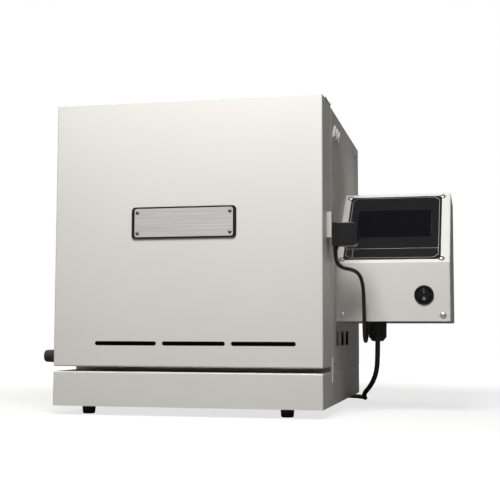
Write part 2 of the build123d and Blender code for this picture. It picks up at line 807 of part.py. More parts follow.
# Ceramic-fibre tape around the chamber mouth
gasket_inset = 6.0
gasket_width = 18.0
with BuildPart() as door_gasket:
    with BuildSketch(Plane.XZ.offset(-door_back_y)):
        with Locations((kiln_x, chamber_mid_z)):
            RectangleRounded(
                frame_opening + 2 * (gasket_inset + gasket_width),
                frame_opening_height + 2 * (gasket_inset + gasket_width),
                frame_corner + gasket_width,
            )
            RectangleRounded(
                frame_opening + 2 * gasket_inset,
                frame_opening_height + 2 * gasket_inset,
                frame_corner,
                mode=Mode.SUBTRACT,
            )
    extrude(amount=fit - seam_gap)
door_gasket.part.label = "door_gasket"

# Bare nameplate in its black frame
with BuildPart() as nameplate_frame:
    with BuildSketch(Plane.XZ.offset(-front_y)):
        with Locations(nameplate_spot):
            RectangleRounded(nameplate_width, nameplate_height, nameplate_corner)
    extrude(amount=nameplate_pad)
    chamfer(nameplate_frame.faces().sort_by(Axis.Y)[0].edges(), nameplate_pad / 4)
    with BuildSketch(Plane.XZ.offset(nameplate_pad - front_y)):
        with Locations(nameplate_spot):
            RectangleRounded(
                nameplate_width - 2 * nameplate_border,
                nameplate_height - 2 * nameplate_rim,
                nameplate_corner - nameplate_rim,
            )
    extrude(amount=-nameplate_recess, mode=Mode.SUBTRACT)
    drill([(x, front_y - nameplate_pad, z) for x, z in nameplate_screw_spots], (0, -1, 0),
          nameplate_screw_thread + 2 * hole_gap, nameplate_pad)
nameplate_frame.part.label = "nameplate_frame"

nameplate_back_y = front_y - nameplate_pad + nameplate_recess
with BuildPart() as nameplate:
    with BuildSketch(Plane.XZ.offset(-nameplate_back_y)):
        with Locations(nameplate_spot):
            RectangleRounded(
                nameplate_width - 2 * nameplate_border - hole_gap,
                nameplate_height - 2 * nameplate_rim - hole_gap,
                nameplate_corner - nameplate_rim,
            )
        with Locations(*nameplate_screw_spots):
            Circle(nameplate_screw_thread / 2 + hole_gap, mode=Mode.SUBTRACT)
    extrude(amount=nameplate_sheet)
nameplate.part.label = "nameplate"

nameplate_screw = dome_screw(
    nameplate_screw_head,
    screw_dome - (nameplate_sheet - nameplate_recess),
    nameplate_screw_thread,
    nameplate_pad + nameplate_sheet + sheet + screw_bite,
)
nameplate_face_y = nameplate_back_y - nameplate_sheet
with BuildPart() as nameplate_screws:
    place(nameplate_screw, [(x, nameplate_face_y, z) for x, z in nameplate_screw_spots], (0, -1, 0))
nameplate_screws.part.label = "nameplate_screws"

# Lift knob low on the door's left side, with its screw through the skin
with BuildPart() as knob:
    with BuildSketch(Plane.XZ):
        with BuildLine():
            Polyline(
                (0, 0),
                (knob_diameter / 2, 0),
                (knob_tip_diameter / 2, knob_reach),
                (0, knob_reach),
                close=True,
            )
        grip = make_face()
        fillet(grip.vertices().group_by(Axis.Y)[-1].sort_by(Axis.X)[-1], knob_tip_radius)
    revolve(axis=Axis.Z)
    Cylinder(screw_thread / 2, knob_screw_reach, align=(Align.CENTER, Align.CENTER, Align.MAX))
with BuildPart() as door_knob:
    place(knob.part, [knob_spot], (-1, 0, 0))
door_knob.part.label = "door_knob"

def hinge_leaf_part(outline, plate_x, own_turns, screw_spots):
    """One leaf of the hinge: its plate, its own knuckles round the pin, and its holes."""
    axis_spot = (hinge_axis_y, hinge_axis_z)
    with BuildPart() as leaf:
        with BuildSketch(Plane.YZ.offset(plate_x[0])) as plate:
            with Locations(axis_spot):
                Polygon(*outline, align=None)
        extrude(plate.sketch, amount=plate_x[1] - plate_x[0])
        for turn in range(hinge_knuckles):
            turn_x = left_x + turn * knuckle_pitch
            if turn in own_turns:
                with BuildSketch(Plane.YZ.offset(turn_x + hinge_knuckle_gap / 2)) as knuckle:
                    with Locations(axis_spot):
                        Circle(hinge_knuckle_radius)
                extrude(knuckle.sketch, amount=knuckle_pitch - hinge_knuckle_gap)
            else:
                with BuildSketch(Plane.YZ.offset(turn_x)) as clearance:
                    with Locations(axis_spot):
                        Circle(hinge_knuckle_radius + hinge_edge_gap)
                extrude(clearance.sketch, amount=knuckle_pitch, mode=Mode.SUBTRACT)
        with BuildSketch(Plane.YZ.offset(left_x)) as bore:
            with Locations(axis_spot):
                Circle(hinge_pin_radius + hinge_running_gap)
        extrude(bore.sketch, amount=kiln_width, mode=Mode.SUBTRACT)
        with Locations(*screw_spots):
            CounterSinkHole(
                hinge_screw_thread / 2 + hole_gap,
                hinge_screw_head / 2 + hole_gap,
                hinge_leaf,
                counter_sink_angle=90,
            )
    return leaf.part


leaf_top = -hinge_fold_gap
leaf_bottom = leaf_top - hinge_leaf
lip_start = hinge_lip - hinge_door_reach
door_leaf_outline = [
    (0, leaf_top),
    (-hinge_door_reach, leaf_top),
    (-hinge_door_reach, leaf_bottom + hinge_lip_lift),
    (lip_start, leaf_bottom + hinge_lip_lift),
    (lip_start, leaf_bottom),
    (0, leaf_bottom),
]
body_leaf_outline = [
    (0, leaf_top),
    (0, leaf_bottom),
    (hinge_body_reach, leaf_bottom),
    (hinge_body_reach, leaf_top),
]
door_turns = range(0, hinge_knuckles, 2)
body_turns = range(1, hinge_knuckles, 2)
body_plate_x = (left_x + knuckle_pitch, left_x + (body_turns[-1] + 1) * knuckle_pitch)

hinge_door_leaf = hinge_leaf_part(
    door_leaf_outline, (left_x, right_x), door_turns, door_hinge_spots
)
hinge_door_leaf.label = "hinge_door_leaf"
hinge_body_leaf = hinge_leaf_part(body_leaf_outline, body_plate_x, body_turns, body_hinge_spots)
hinge_body_leaf.label = "hinge_body_leaf"

with BuildPart() as hinge_pin:
    with BuildSketch(Plane.YZ.offset(left_x)):
        with Locations((hinge_axis_y, hinge_axis_z)):
            Circle(hinge_pin_radius)
    extrude(amount=kiln_width)
hinge_pin.part.label = "hinge_pin"

hinge_screw = countersunk_screw(hinge_screw_head, hinge_screw_thread, hinge_screw_bite)
with BuildPart() as door_hinge_screws:
    place(hinge_screw, door_hinge_spots, (0, 0, 1))
door_hinge_screws.part.label = "door_hinge_screws"
with BuildPart() as body_hinge_screws:
    place(hinge_screw, body_hinge_spots, (0, 0, 1))
body_hinge_screws.part.label = "body_hinge_screws"

# Door switch: a folded bracket on the body that reaches past the door's side
bracket_outer_x = right_x + bracket_stand_off + sheet
bracket_front_y = front_y + bracket_front
bracket_bottom = body_bottom + bracket_rise
with BuildPart() as switch_bracket:
    with BuildSketch(Plane.XY.offset(bracket_bottom)):
        with BuildLine():
            Polyline(
                (right_x + fit, bracket_front_y),
                (bracket_outer_x, bracket_front_y),
                (bracket_outer_x, front_y + bracket_joggle_start),
                (right_x + sheet, front_y + bracket_joggle_end),
                (right_x + sheet, bracket_front_y + bracket_length),
                (right_x, bracket_front_y + bracket_length),
                (right_x, front_y + bracket_joggle_end - sheet / 2),
                (bracket_outer_x - sheet, front_y + bracket_joggle_start - sheet / 2),
                (bracket_outer_x - sheet, bracket_front_y + sheet),
                (right_x + fit, bracket_front_y + sheet),
                close=True,
            )
        make_face()
    extrude(amount=bracket_height)
    front_screw_spot = (
        bracket_outer_x, front_y + bracket_screw_front, bracket_top - bracket_screw_drop_front
    )
    rear_screw_spot = (right_x + sheet, *bracket_screw_rear_spot)
    drill([front_screw_spot, rear_screw_spot], (1, 0, 0), thread_hole, sheet)
switch_bracket.part.label = "switch_bracket"

switch_reach = 32.5
switch_height = 30.0
switch_depth = 22.0
switch_front = 37.0
switch_drop = 13.5
switch_base_width = 7.5
switch_base_inset = 1.5
switch_corner = 6.0
switch_edge = 1.0
switch_cable_offset = 3.5
switch_boss_radius = 3.5
switch_boss_height = 3.0
switch_x = (bracket_outer_x, bracket_outer_x + switch_reach)
switch_y = (front_y + switch_front, front_y + switch_front + switch_depth)
switch_z = (bracket_top - switch_drop - switch_height, bracket_top - switch_drop)
sensor_exit = (
    bracket_outer_x + switch_cable_offset,
    (switch_y[0] + switch_y[1]) / 2,
    switch_z[0] - switch_boss_height,
)
with BuildPart() as door_switch:
    span((switch_x[0] + switch_base_width, switch_x[1]), switch_y, switch_z)
    outer_edges = door_switch.edges().filter_by(Axis.Y).group_by(Axis.X)[-1]
    fillet(outer_edges, switch_corner)
    fillet(door_switch.faces().sort_by(Axis.Y)[0].edges(), switch_edge)
    span(
        (switch_x[0], switch_x[0] + switch_base_width),
        (switch_y[0] + switch_base_inset, switch_y[1] - switch_base_inset),
        switch_z,
    )
    with BuildSketch(Plane.XY.offset(sensor_exit[2])):
        with Locations((sensor_exit[0], sensor_exit[1])):
            Circle(switch_boss_radius)
    extrude(amount=switch_boss_height)
door_switch.part.label = "door_switch"

# Control box: an outer shell with a sloping panel, over a chassis screwed to the casing
box_profile = [
    (box_front_y, box_bottom),
    (box_front_y, box_fold_z),
    (box_slope_y, box_top),
    (box_back_y, box_top),
    (box_back_y, box_bottom),
]
slope_angle = atan2(box_top - box_fold_z, box_slope_run)
fold_setback = tan(slope_angle / 2)
box_hollow = [
    (box_front_y + sheet, box_bottom - sheet),
    (box_front_y + sheet, box_fold_z - sheet * fold_setback),
    (box_slope_y + sheet * fold_setback, box_top - sheet),
    (box_back_y + sheet, box_top - sheet),
    (box_back_y + sheet, box_bottom - sheet),
]
slope_plane = Plane(
    origin=(right_x, box_front_y, box_fold_z),
    x_dir=(1, 0, 0),
    z_dir=(0, -sin(slope_angle), cos(slope_angle)),
)
panel_width = 131.2
panel_height = 149.0
panel_thickness = 0.8
panel_corner = 4.2
panel_centre = (box_width / 2 - 1.6, 80.3)
panel_screw_pitch_x = 133.6
panel_screw_pitch_s = 147.0
panel_screw_head = 6.5
panel_screw_dome = 1.7
panel_screw_spots = [
    (panel_centre[0] + side * panel_screw_pitch_x / 2, panel_centre[1] + row * panel_screw_pitch_s / 2)
    for side in (-1, 1)
    for row in (-1, 1)
]
window_width = 103.0
window_height = 64.2
window_thickness = 0.7
window_start = 55.8
window_overlap = 2.5
window_centre = (panel_centre[0], window_start + window_height / 2)

front_flange_rise = 15.0
shell_screw_head = 9.0
shell_screw_dome = 2.0
shell_screw_inset = 9.5
shell_screw_rise = 8.0
shell_screw_spots = [
    (x, box_front_y, box_bottom + shell_screw_rise)
    for x in (right_x + shell_screw_inset, box_right - shell_screw_inset - fit)
]

rocker_bezel_diameter = 26.0
rocker_bezel_proud = 2.0
rocker_hole_radius = 11.6
rocker_barrel_radius = 11.5
rocker_barrel_bore = 9.8
rocker_barrel_depth = 24.0
rocker_inset_x = 34.7
rocker_rise = 35.0
rocker_x = box_right - rocker_inset_x
rocker_z = box_bottom + rocker_rise

cord_gland_x = 51.0
cord_gland_y = 58.0
cord_gland_hole = 16.0
cord_gland_spot = (right_x + cord_gland_x, box_front_y + cord_gland_y, box_bottom)
sensor_gland_x = 39.5
sensor_gland_y = 25.0
sensor_gland_diameter = 12.0
sensor_gland_drop = 4.0
sensor_gland_stem = 8.0
sensor_gland_spot = (right_x + sensor_gland_x, box_front_y + sensor_gland_y, box_bottom)

with BuildPart() as control_box_shell:
    with BuildSketch(Plane.YZ.offset(right_x + fit)) as profile:
        Polygon(*box_profile, align=None)
    extrude(amount=box_width - fit)
    long_edges = control_box_shell.edges().filter_by(Axis.X)
    folds = long_edges.filter_by_position(Axis.Z, box_bottom + sheet, box_top)
    outer_face = control_box_shell.faces().sort_by(Axis.X)[-1]
    fillet(outer_face.edges() + folds, edge_radius)
    with BuildSketch(Plane.YZ.offset(right_x)) as hollow:
        Polygon(*box_hollow, align=None)
    extrude(amount=box_width - sheet, mode=Mode.SUBTRACT)
    with BuildSketch(slope_plane):
        with Locations(window_centre):
            Rectangle(window_width - 2 * window_overlap, window_height - 2 * window_overlap)
        with Locations(*panel_screw_spots):
            Circle(screw_thread / 2 + hole_gap)
    extrude(amount=-2 * sheet, mode=Mode.SUBTRACT)
    drill(shell_screw_spots, (0, -1, 0), thread_hole, 2 * sheet)
    drill([(rocker_x, box_front_y, rocker_z)], (0, -1, 0), 2 * rocker_hole_radius, 2 * sheet)
control_box_shell.part.label = "control_box_shell"

# Chassis: the box's left wall, floor, back and a front flange that takes the shell's screws
chassis_z = (box_bottom, box_top - sheet - fit)
chassis_back = (box_back_y - sheet, box_back_y)
chassis_right = box_right - sheet - fit
chassis_gap = sheet + fit
with BuildPart() as control_box_chassis:
    with BuildSketch(Plane.YZ.offset(right_x)) as wall:
        Polygon(
            (box_front_y + 2 * sheet, box_bottom),
            (box_front_y + 2 * sheet, box_fold_z - chassis_gap),
            (box_slope_y + chassis_gap * fold_setback, chassis_z[1]),
            (box_back_y, chassis_z[1]),
            (box_back_y, box_bottom),
            align=None,
        )
    extrude(amount=sheet)
    span((right_x, chassis_right), (box_front_y + sheet, box_back_y), (box_bottom, box_bottom + sheet))
    span((right_x, chassis_right), chassis_back, chassis_z)
    flange_y = (box_front_y + sheet, box_front_y + 2 * sheet)
    flange_x = (right_x + sheet + fit, chassis_right)
    span(flange_x, flange_y, (box_bottom, box_bottom + front_flange_rise))
    drill([(x, flange_y[0], z) for x, y, z in shell_screw_spots], (0, -1, 0), thread_hole, sheet)
    wall_face_x = right_x + sheet
    drill([(wall_face_x, y, z) for y, z in mount_screw_spots], (1, 0, 0), thread_hole, sheet)
    drill([(wall_face_x, *grommet_spot)], (1, 0, 0), grommet_hole, sheet)
    floor_x, floor_y, floor_z = cord_gland_spot
    drill([(floor_x, floor_y, box_bottom + sheet)], (0, 0, 1), cord_gland_hole, sheet)
    cable_x, cable_y, cable_z = sensor_gland_spot
    drill([(cable_x, cable_y, box_bottom + sheet)], (0, 0, 1), sensor_gland_stem, sheet)
control_box_chassis.part.label = "control_box_chassis"

# Rubber ring round the element leads where they pass from the box into the kiln
grommet_flange = 2.0
grommet_lip = 3.0
grommet_bore = 12.0
with BuildPart() as grommet:
    with BuildSketch(Plane.XZ):
        with BuildLine():
            Polyline(
                (grommet_bore / 2, -sheet - grommet_flange),
                (grommet_hole / 2 + grommet_lip, -sheet - grommet_flange),
                (grommet_hole / 2 + grommet_lip, -sheet),
                (grommet_hole / 2 - hole_gap, -sheet),
                (grommet_hole / 2 - hole_gap, sheet),
                (grommet_hole / 2 + grommet_lip, sheet),
                (grommet_hole / 2 + grommet_lip, sheet + grommet_flange),
                (grommet_bore / 2, sheet + grommet_flange),
                close=True,
            )
        make_face()
    revolve(axis=Axis.Z)
with BuildPart() as lead_grommet:
    place(grommet.part, [(right_x, *grommet_spot)], (1, 0, 0))
lead_grommet.part.label = "lead_grommet"

# Panel face, its window and the display behind it
with BuildPart() as control_overlay:
    with BuildSketch(slope_plane):
        with Locations(panel_centre):
            Rectangle(panel_width, panel_height)
        with Locations(*panel_screw_spots):
            Circle(panel_corner, mode=Mode.SUBTRACT)
        with Locations(window_centre):
            Rectangle(window_width + 2 * hole_gap, window_height + 2 * hole_gap, mode=Mode.SUBTRACT)
    extrude(amount=panel_thickness)
control_overlay.part.label = "control_overlay"

with BuildPart() as display_window:
    with BuildSketch(slope_plane):
        with Locations(window_centre):
            Rectangle(window_width, window_height)
    extrude(amount=window_thickness)
display_window.part.label = "display_window"

module_board_width = 112.0
module_board_height = 74.0
module_board = 1.6
module_drop = 7.0
module_post_radius = 2.5
module_post_inset = 3.0
screen_width = window_width - 2 * window_overlap - 2 * fit
screen_height = window_height - 2 * window_overlap - 2 * fit
with BuildPart() as display_module:
    with BuildSketch(slope_plane.offset(-sheet - module_drop)):
        with Locations(window_centre):
            Rectangle(module_board_width, module_board_height)
    extrude(amount=-module_board)
    with BuildSketch(slope_plane.offset(-sheet - module_drop)):
        with Locations(window_centre):
            Rectangle(screen_width, screen_height)
    extrude(amount=sheet + module_drop - fit)
    with BuildSketch(slope_plane.offset(-sheet - module_drop)):
        with Locations(window_centre):
            with GridLocations(
                module_board_width - 2 * module_post_inset,
                module_board_height - 2 * module_post_inset,
                2,
                2,
            ):
                Circle(module_post_radius)
    extrude(amount=module_drop)
display_module.part.label = "display_module"

# Controller board on stand-offs from the chassis wall
board_start = 278.0
board_length = 77.0
board_rise = 95.0
board_height = 80.0
board_thickness = 1.6
board_stand_off = 8.0
board_post_inset = 5.0
board_post_radius = 3.0
board_y = front_y + board_start + board_length / 2
board_z = box_bottom + board_rise + board_height / 2
board_face_x = wall_face_x + board_stand_off
transformer_size = (30.0, 34.0, 28.0)
transformer_shift = (-18.0, 16.0)
relay_can_size = (20.0, 16.0, 16.0)
relay_can_pitch = 22.0
relay_can_shift = -22.0
with BuildPart() as controller_board:
    with BuildSketch(Plane.YZ.offset(board_face_x)):
        with Locations((board_y, board_z)):
            Rectangle(board_length, board_height)
    extrude(amount=board_thickness)
    with BuildSketch(Plane.YZ.offset(wall_face_x)):
        with Locations((board_y, board_z)):
            with GridLocations(
                board_length - 2 * board_post_inset, board_height - 2 * board_post_inset, 2, 2
            ):
                Circle(board_post_radius)
    extrude(amount=board_stand_off)
    with BuildSketch(Plane.YZ.offset(board_face_x + board_thickness)):
        with Locations((board_y + transformer_shift[0], board_z + transformer_shift[1])):
            Rectangle(transformer_size[0], transformer_size[1])
    extrude(amount=transformer_size[2])
    with BuildSketch(Plane.YZ.offset(board_face_x + board_thickness)):
        with Locations((board_y, board_z + relay_can_shift)):
            with GridLocations(relay_can_pitch, relay_can_pitch, 3, 1):
                Rectangle(relay_can_size[1], relay_can_size[0])
    extrude(amount=relay_can_size[2])
controller_board.part.label = "controller_board"

# Solid-state relay on its finned heat sink
sink_length = 80.0
sink_width = 60.0
sink_plate = 5.0
sink_height = 30.0
sink_fin = 2.0
sink_fins = 8
sink_inset_x = 22.0
sink_start_y = 108.0
relay_width = 45.0
relay_length = 58.0
relay_height = 23.0
sink_x = wall_face_x + sink_inset_x + sink_width / 2
sink_y = box_front_y + sink_start_y
sink_base_z = box_bottom + sheet
with BuildPart() as heat_sink:
    with BuildSketch(Plane.XZ.offset(-sink_y)):
        with Locations((sink_x, sink_base_z + sink_height - sink_plate / 2)):
            Rectangle(sink_width, sink_plate)
        with Locations((sink_x, sink_base_z + sink_height / 2)):
            with GridLocations((sink_width - sink_fin) / (sink_fins - 1), sink_height, sink_fins, 1):
                Rectangle(sink_fin, sink_height)
    extrude(amount=-sink_length)
heat_sink.part.label = "heat_sink"
with BuildPart() as power_relay:
    span(
        (sink_x - relay_width / 2, sink_x + relay_width / 2),
        (sink_y + (sink_length - relay_length) / 2, sink_y + (sink_length + relay_length) / 2),
        (sink_base_z + sink_height, sink_base_z + sink_height + relay_height),
    )
    chamfer(power_relay.faces().sort_by(Axis.Z)[-1].edges(), 2.0)
power_relay.part.label = "power_relay"

# Terminal strip that joins the cord, the switch and the elements
strip_ways = 6
strip_pitch = 12.0
strip_width = 18.0
strip_height = 14.0
strip_hole = 5.0
strip_depth = 5.0
strip_inset_x = 40.0
strip_x = box_right - strip_inset_x
strip_y = sink_y + sink_length / 2
with BuildPart() as terminal_strip:
    with BuildSketch(Plane.XY.offset(sink_base_z)):
        with Locations((strip_x, strip_y)):
            Rectangle(strip_width, strip_ways * strip_pitch)
    extrude(amount=strip_height)
    with BuildSketch(Plane.XY.offset(sink_base_z + strip_height)):
        with Locations((strip_x, strip_y)):
            with GridLocations(strip_width / 2, strip_pitch, 2, strip_ways):
                Circle(strip_hole / 2)
    extrude(amount=-strip_depth, mode=Mode.SUBTRACT)
terminal_strip.part.label = "terminal_strip"

# Screws of the base, the casing and the box's wall, all of one kind in three lengths
foot_screw = dome_screw(
    casing_screw_head, rear_dome, screw_thread, foot_floor + sheet + screw_bite
)
sheet_screw = dome_screw(casing_screw_head, rear_dome, screw_thread, 2 * sheet + screw_bite)
with BuildPart() as casing_screws:
    place(foot_screw, [(x, y, base_bottom - foot_floor) for x, y in foot_spots], (0, 0, -1))
    place(sheet_screw, [(x, back_y, z) for x, z in rear_screw_spots], (0, 1, 0))
    place(sheet_screw, [(wall_face_x, y, z) for y, z in mount_screw_spots], (1, 0, 0))
    for side_x, outward in sides:
        strap_spots = [(side_x + outward * sheet, strap_mid_y, z) for z in strap_screw_z]
        place(sheet_screw, strap_spots, (outward, 0, 0))
        place(sheet_screw, [(side_x, y, z) for y, z in rail_screw_spots], (outward, 0, 0))
casing_screws.part.label = "casing_screws"

# Bright screws of the control box, its panel and the switch bracket
shell_screw = dome_screw(shell_screw_head, shell_screw_dome, screw_thread, 2 * sheet + screw_bite)
panel_screw = dome_screw(panel_screw_head, panel_screw_dome, screw_thread, sheet + screw_bite)
bracket_screw = dome_screw(
    bracket_screw_head, bracket_screw_dome, screw_thread, bracket_stand_off + sheet - 2 * fit
)
panel_screw_origins = [
    slope_plane.from_local_coords(Vector(x, s, 0)) for x, s in panel_screw_spots
]
with BuildPart() as bright_screws:
    place(shell_screw, shell_screw_spots, (0, -1, 0))
    place(bracket_screw, [front_screw_spot, rear_screw_spot], (1, 0, 0))
    place(panel_screw, panel_screw_origins, slope_plane.z_dir)
bright_screws.part.label = "bright_screws"

# Power rocker: round housing snapped into the front, and the rocker on its two trunnions
rocker_radius = 9.4
rocker_pivot_depth = 1.0
rocker_face = 3.0
rocker_lean = 18.0
trunnion_radius = 1.5
trunnion_reach = 11.0
socket_reach = 11.2
bezel_edge = 0.8
blade_width = 6.3
blade_thickness = 0.8
blade_reach = 10.0
blade_pitch = 9.0
pivot_y = box_front_y + rocker_pivot_depth
barrel_back_y = box_front_y + rocker_barrel_depth
with BuildPart() as rocker_bezel:
    with BuildSketch(Plane.XZ.offset(-box_front_y)):
        with Locations((rocker_x, rocker_z)):
            Circle(rocker_bezel_diameter / 2)
    extrude(amount=rocker_bezel_proud)
    chamfer(rocker_bezel.faces().sort_by(Axis.Y)[0].edges(), bezel_edge)
    with BuildSketch(Plane.XZ.offset(-box_front_y)):
        with Locations((rocker_x, rocker_z)):
            Circle(rocker_barrel_radius)
    extrude(amount=-rocker_barrel_depth)
    with BuildSketch(Plane.XZ.offset(rocker_bezel_proud - box_front_y)):
        with Locations((rocker_x, rocker_z)):
            Circle(rocker_barrel_bore)
    extrude(amount=sheet - rocker_bezel_proud - rocker_barrel_depth, mode=Mode.SUBTRACT)
    with BuildSketch(Plane.YZ.offset(rocker_x - socket_reach)):
        with Locations((pivot_y, rocker_z)):
            Circle(trunnion_radius + hole_gap)
    extrude(amount=2 * socket_reach, mode=Mode.SUBTRACT)
    with BuildSketch(Plane.XZ.offset(-barrel_back_y)):
        with Locations((rocker_x, rocker_z)):
            with GridLocations(blade_width, blade_pitch, 1, 2):
                Rectangle(blade_width, blade_thickness)
    extrude(amount=-blade_reach)
rocker_bezel.part.label = "rocker_bezel"

rocker_room = 2 * rocker_radius
with BuildPart() as rocker:
    with Locations((rocker_x, pivot_y, rocker_z)):
        Sphere(rocker_radius)
    with BuildSketch(Plane.YZ.offset(rocker_x - rocker_radius)):
        with Locations((pivot_y - rocker_face, rocker_z)):
            Polygon(
                (0, 0),
                (0, -rocker_room),
                (-rocker_room, -rocker_room),
                (-rocker_room, rocker_room),
                (-rocker_room * tan(radians(rocker_lean)), rocker_room),
                align=None,
            )
    extrude(amount=2 * rocker_radius, mode=Mode.SUBTRACT)
    with BuildSketch(Plane.YZ.offset(rocker_x - trunnion_reach)):
        with Locations((pivot_y, rocker_z)):
            Circle(trunnion_radius)
    extrude(amount=2 * trunnion_reach)
rocker.part.label = "rocker"

# Cord gland under the box, with its nut inside
cord_diameter = 7.0
gland_hex = 22.0
gland_collar = 6.0
gland_nut_diameter = 25.0
gland_nut_end = 21.0
gland_tip_diameter = 15.0
gland_length = 27.0
gland_nut_hex = 24.0
gland_nut_height = 5.0
gland_bore = cord_diameter - 1.0
with BuildPart() as cord_gland:
    with BuildSketch(Plane.XY.offset(box_bottom)):
        with Locations((floor_x, floor_y)):
            RegularPolygon(gland_hex / 2, 6, major_radius=False)
    extrude(amount=-gland_collar)
    with BuildSketch(Plane(origin=cord_gland_spot, x_dir=(1, 0, 0), z_dir=(0, -1, 0))):
        with BuildLine():
            Polyline(
                (gland_bore / 2, gland_nut_height + 2 * sheet),
                (cord_gland_hole / 2 - hole_gap, gland_nut_height + 2 * sheet),
                (cord_gland_hole / 2 - hole_gap, -gland_collar),
                (gland_nut_diameter / 2, -gland_collar),
                (gland_nut_diameter / 2, -gland_nut_end),
                (gland_tip_diameter / 2, -gland_length),
                (gland_bore / 2, -gland_length),
                close=True,
            )
        make_face()
    revolve(axis=Axis((floor_x, floor_y, box_bottom), (0, 0, 1)))
    with BuildSketch(Plane.XY.offset(box_bottom)):
        with Locations((floor_x, floor_y)):
            Circle(gland_bore / 2)
    extrude(amount=-gland_length, mode=Mode.SUBTRACT)
cord_gland.part.label = "cord_gland"

with BuildPart() as cord_gland_nut:
    with BuildSketch(Plane.XY.offset(box_bottom + sheet)):
        with Locations((floor_x, floor_y)):
            RegularPolygon(gland_nut_hex / 2, 6, major_radius=False)
            Circle(cord_gland_hole / 2, mode=Mode.SUBTRACT)
    extrude(amount=gland_nut_height)
cord_gland_nut.part.label = "cord_gland_nut"

# Bush where the door switch's cable goes back up into the box
sensor_cable_diameter = 5.0
with BuildPart() as sensor_gland:
    with BuildSketch(Plane.XY.offset(box_bottom)):
        with Locations((cable_x, cable_y)):
            Circle(sensor_gland_diameter / 2)
    extrude(amount=-sensor_gland_drop)
    chamfer(sensor_gland.faces().sort_by(Axis.Z)[0].edges(), 1.0)
    with BuildSketch(Plane.XY.offset(box_bottom)):
        with Locations((cable_x, cable_y)):
            Circle(sensor_gland_stem / 2 - hole_gap)
    extrude(amount=3 * sheet)
sensor_gland.part.label = "sensor_gland"

# Switch cable: down from the switch, back towards the box, and round its lower edge
sensor_route = [
    (118.75, -155.3, 215.0),
    (118.95, -154.7, 204.0),
    (121.0, -149.3, 195.0),
    (127.2, -138.3, 190.5),
    (136.2, -122.3, 190.0),
    (144.2, -108.3, 185.5),
    (147.8, -99.3, 173.5),
    (148.6, -94.3, 157.5),
    (148.7, -92.0, 133.5),
    (148.75, -91.3, 109.0),
    (148.75, -84.4, 98.5),
    (148.75, -73.3, 94.9),
    (148.75, -62.2, 98.5),
    (148.75, -55.3, 108.0),
    (148.75, -55.3, 118.5),
]
sensor_cable = cord_tube(sensor_route, sensor_cable_diameter, "sensor_cable")
sensor_cable.label = "sensor_cable"

# Power cord: out of the gland, down past the base and round behind the kiln
cord_route = [
    (160.25, -22.3, 95.5),
    (159.75, -20.3, 73.5),
    (157.25, -6.3, 55.5),
    (150.25, 19.7, 39.5),
    (140.25, 53.7, 27.0),
    (128.25, 97.7, 16.0),
    (123.25, 147.7, 7.5),
    (121.25, 182.7, 3.7),
    (117.25, 207.7, 3.6),
    (105.25, 226.7, 3.6),
    (86.25, 237.7, 3.6),
    (61.25, 241.7, 3.6),
    (31.25, 236.7, 3.6),
    (3.25, 229.4, 3.6),
]
power_cord = cord_tube(cord_route, cord_diameter, "power_cord")
power_cord.label = "power_cord"

# Coil of the cord's spare length, lying behind the kiln, and the strap that ties it
coil_radius = 38.5
coil_layers = 3
coil_rows = 2
coil_x = -18.75
coil_y = 272.7
coil_corner = cord_diameter / 2
coil_width = coil_layers * cord_diameter
coil_height = coil_rows * cord_diameter
with BuildPart() as cord_coil:
    with BuildSketch(Plane.XZ.offset(-coil_y)):
        with Locations((coil_x + coil_radius, coil_height / 2)):
            RectangleRounded(coil_width, coil_height, coil_corner)
    revolve(axis=Axis((coil_x, coil_y, 0), (0, 0, 1)))
cord_coil.part.label = "cord_coil"

tie_width = 12.0
tie_thickness = 1.2
with BuildPart() as cord_tie:
    with BuildSketch(Plane.XZ.offset(tie_width / 2 - coil_y)):
        with Locations((coil_x - coil_radius, (coil_height + tie_thickness) / 2)):
            RectangleRounded(
                coil_width + 2 * tie_thickness, coil_height + tie_thickness, coil_corner
            )
        with Locations((coil_x - coil_radius, (coil_height + tie_thickness) / 2)):
            RectangleRounded(
                coil_width, coil_height - tie_thickness, coil_corner, mode=Mode.SUBTRACT
            )
    extrude(amount=-tie_width)
cord_tie.part.label = "cord_tie"

# Moulded plug beside the coil
plug_start = 14.0
relief_length = 28.0
relief_tip_diameter = 8.0
relief_root_diameter = 14.0
plug_length = 40.0
plug_width_y = 25.0
plug_height_z = 21.0
plug_round = 5.0
plug_y = coil_y + coil_radius + (coil_width - cord_diameter) / 2
plug_x = coil_x + plug_start
with BuildPart() as plug_body:
    with BuildSketch(Plane.YZ.offset(plug_x)):
        with Locations((plug_y, plug_height_z / 2)):
            Circle(relief_tip_diameter / 2)
    with BuildSketch(Plane.YZ.offset(plug_x + relief_length)):
        with Locations((plug_y, plug_height_z / 2)):
            Circle(relief_root_diameter / 2)
    loft()
    with BuildSketch(Plane.YZ.offset(plug_x + relief_length)):
        with Locations((plug_y, plug_height_z / 2)):
            RectangleRounded(plug_width_y, plug_height_z, plug_round)
    extrude(amount=plug_length)
    chamfer(plug_body.faces().sort_by(Axis.X)[-1].edges(), 1.5)
plug_body.part.label = "plug_body"

pin_x = plug_x + relief_length + plug_length
pin_length = 18.0
pin_pitch = 12.7
pin_width = 6.35
pin_thickness = 1.5
earth_pin_diameter = 4.8
earth_pin_length = 21.0
earth_pin_drop = 6.0
pin_rise = 5.0
with BuildPart() as plug_pins:
    with BuildSketch(Plane.YZ.offset(pin_x)):
        with Locations((plug_y, plug_height_z / 2 + pin_rise)):
            with GridLocations(pin_pitch, pin_width, 2, 1):
                Rectangle(pin_thickness, pin_width)
    extrude(amount=pin_length)
    with BuildSketch(Plane.YZ.offset(pin_x)):
        with Locations((plug_y, plug_height_z / 2 - earth_pin_drop)):
            Circle(earth_pin_diameter / 2)
    extrude(amount=earth_pin_length)
plug_pins.part.label = "plug_pins"

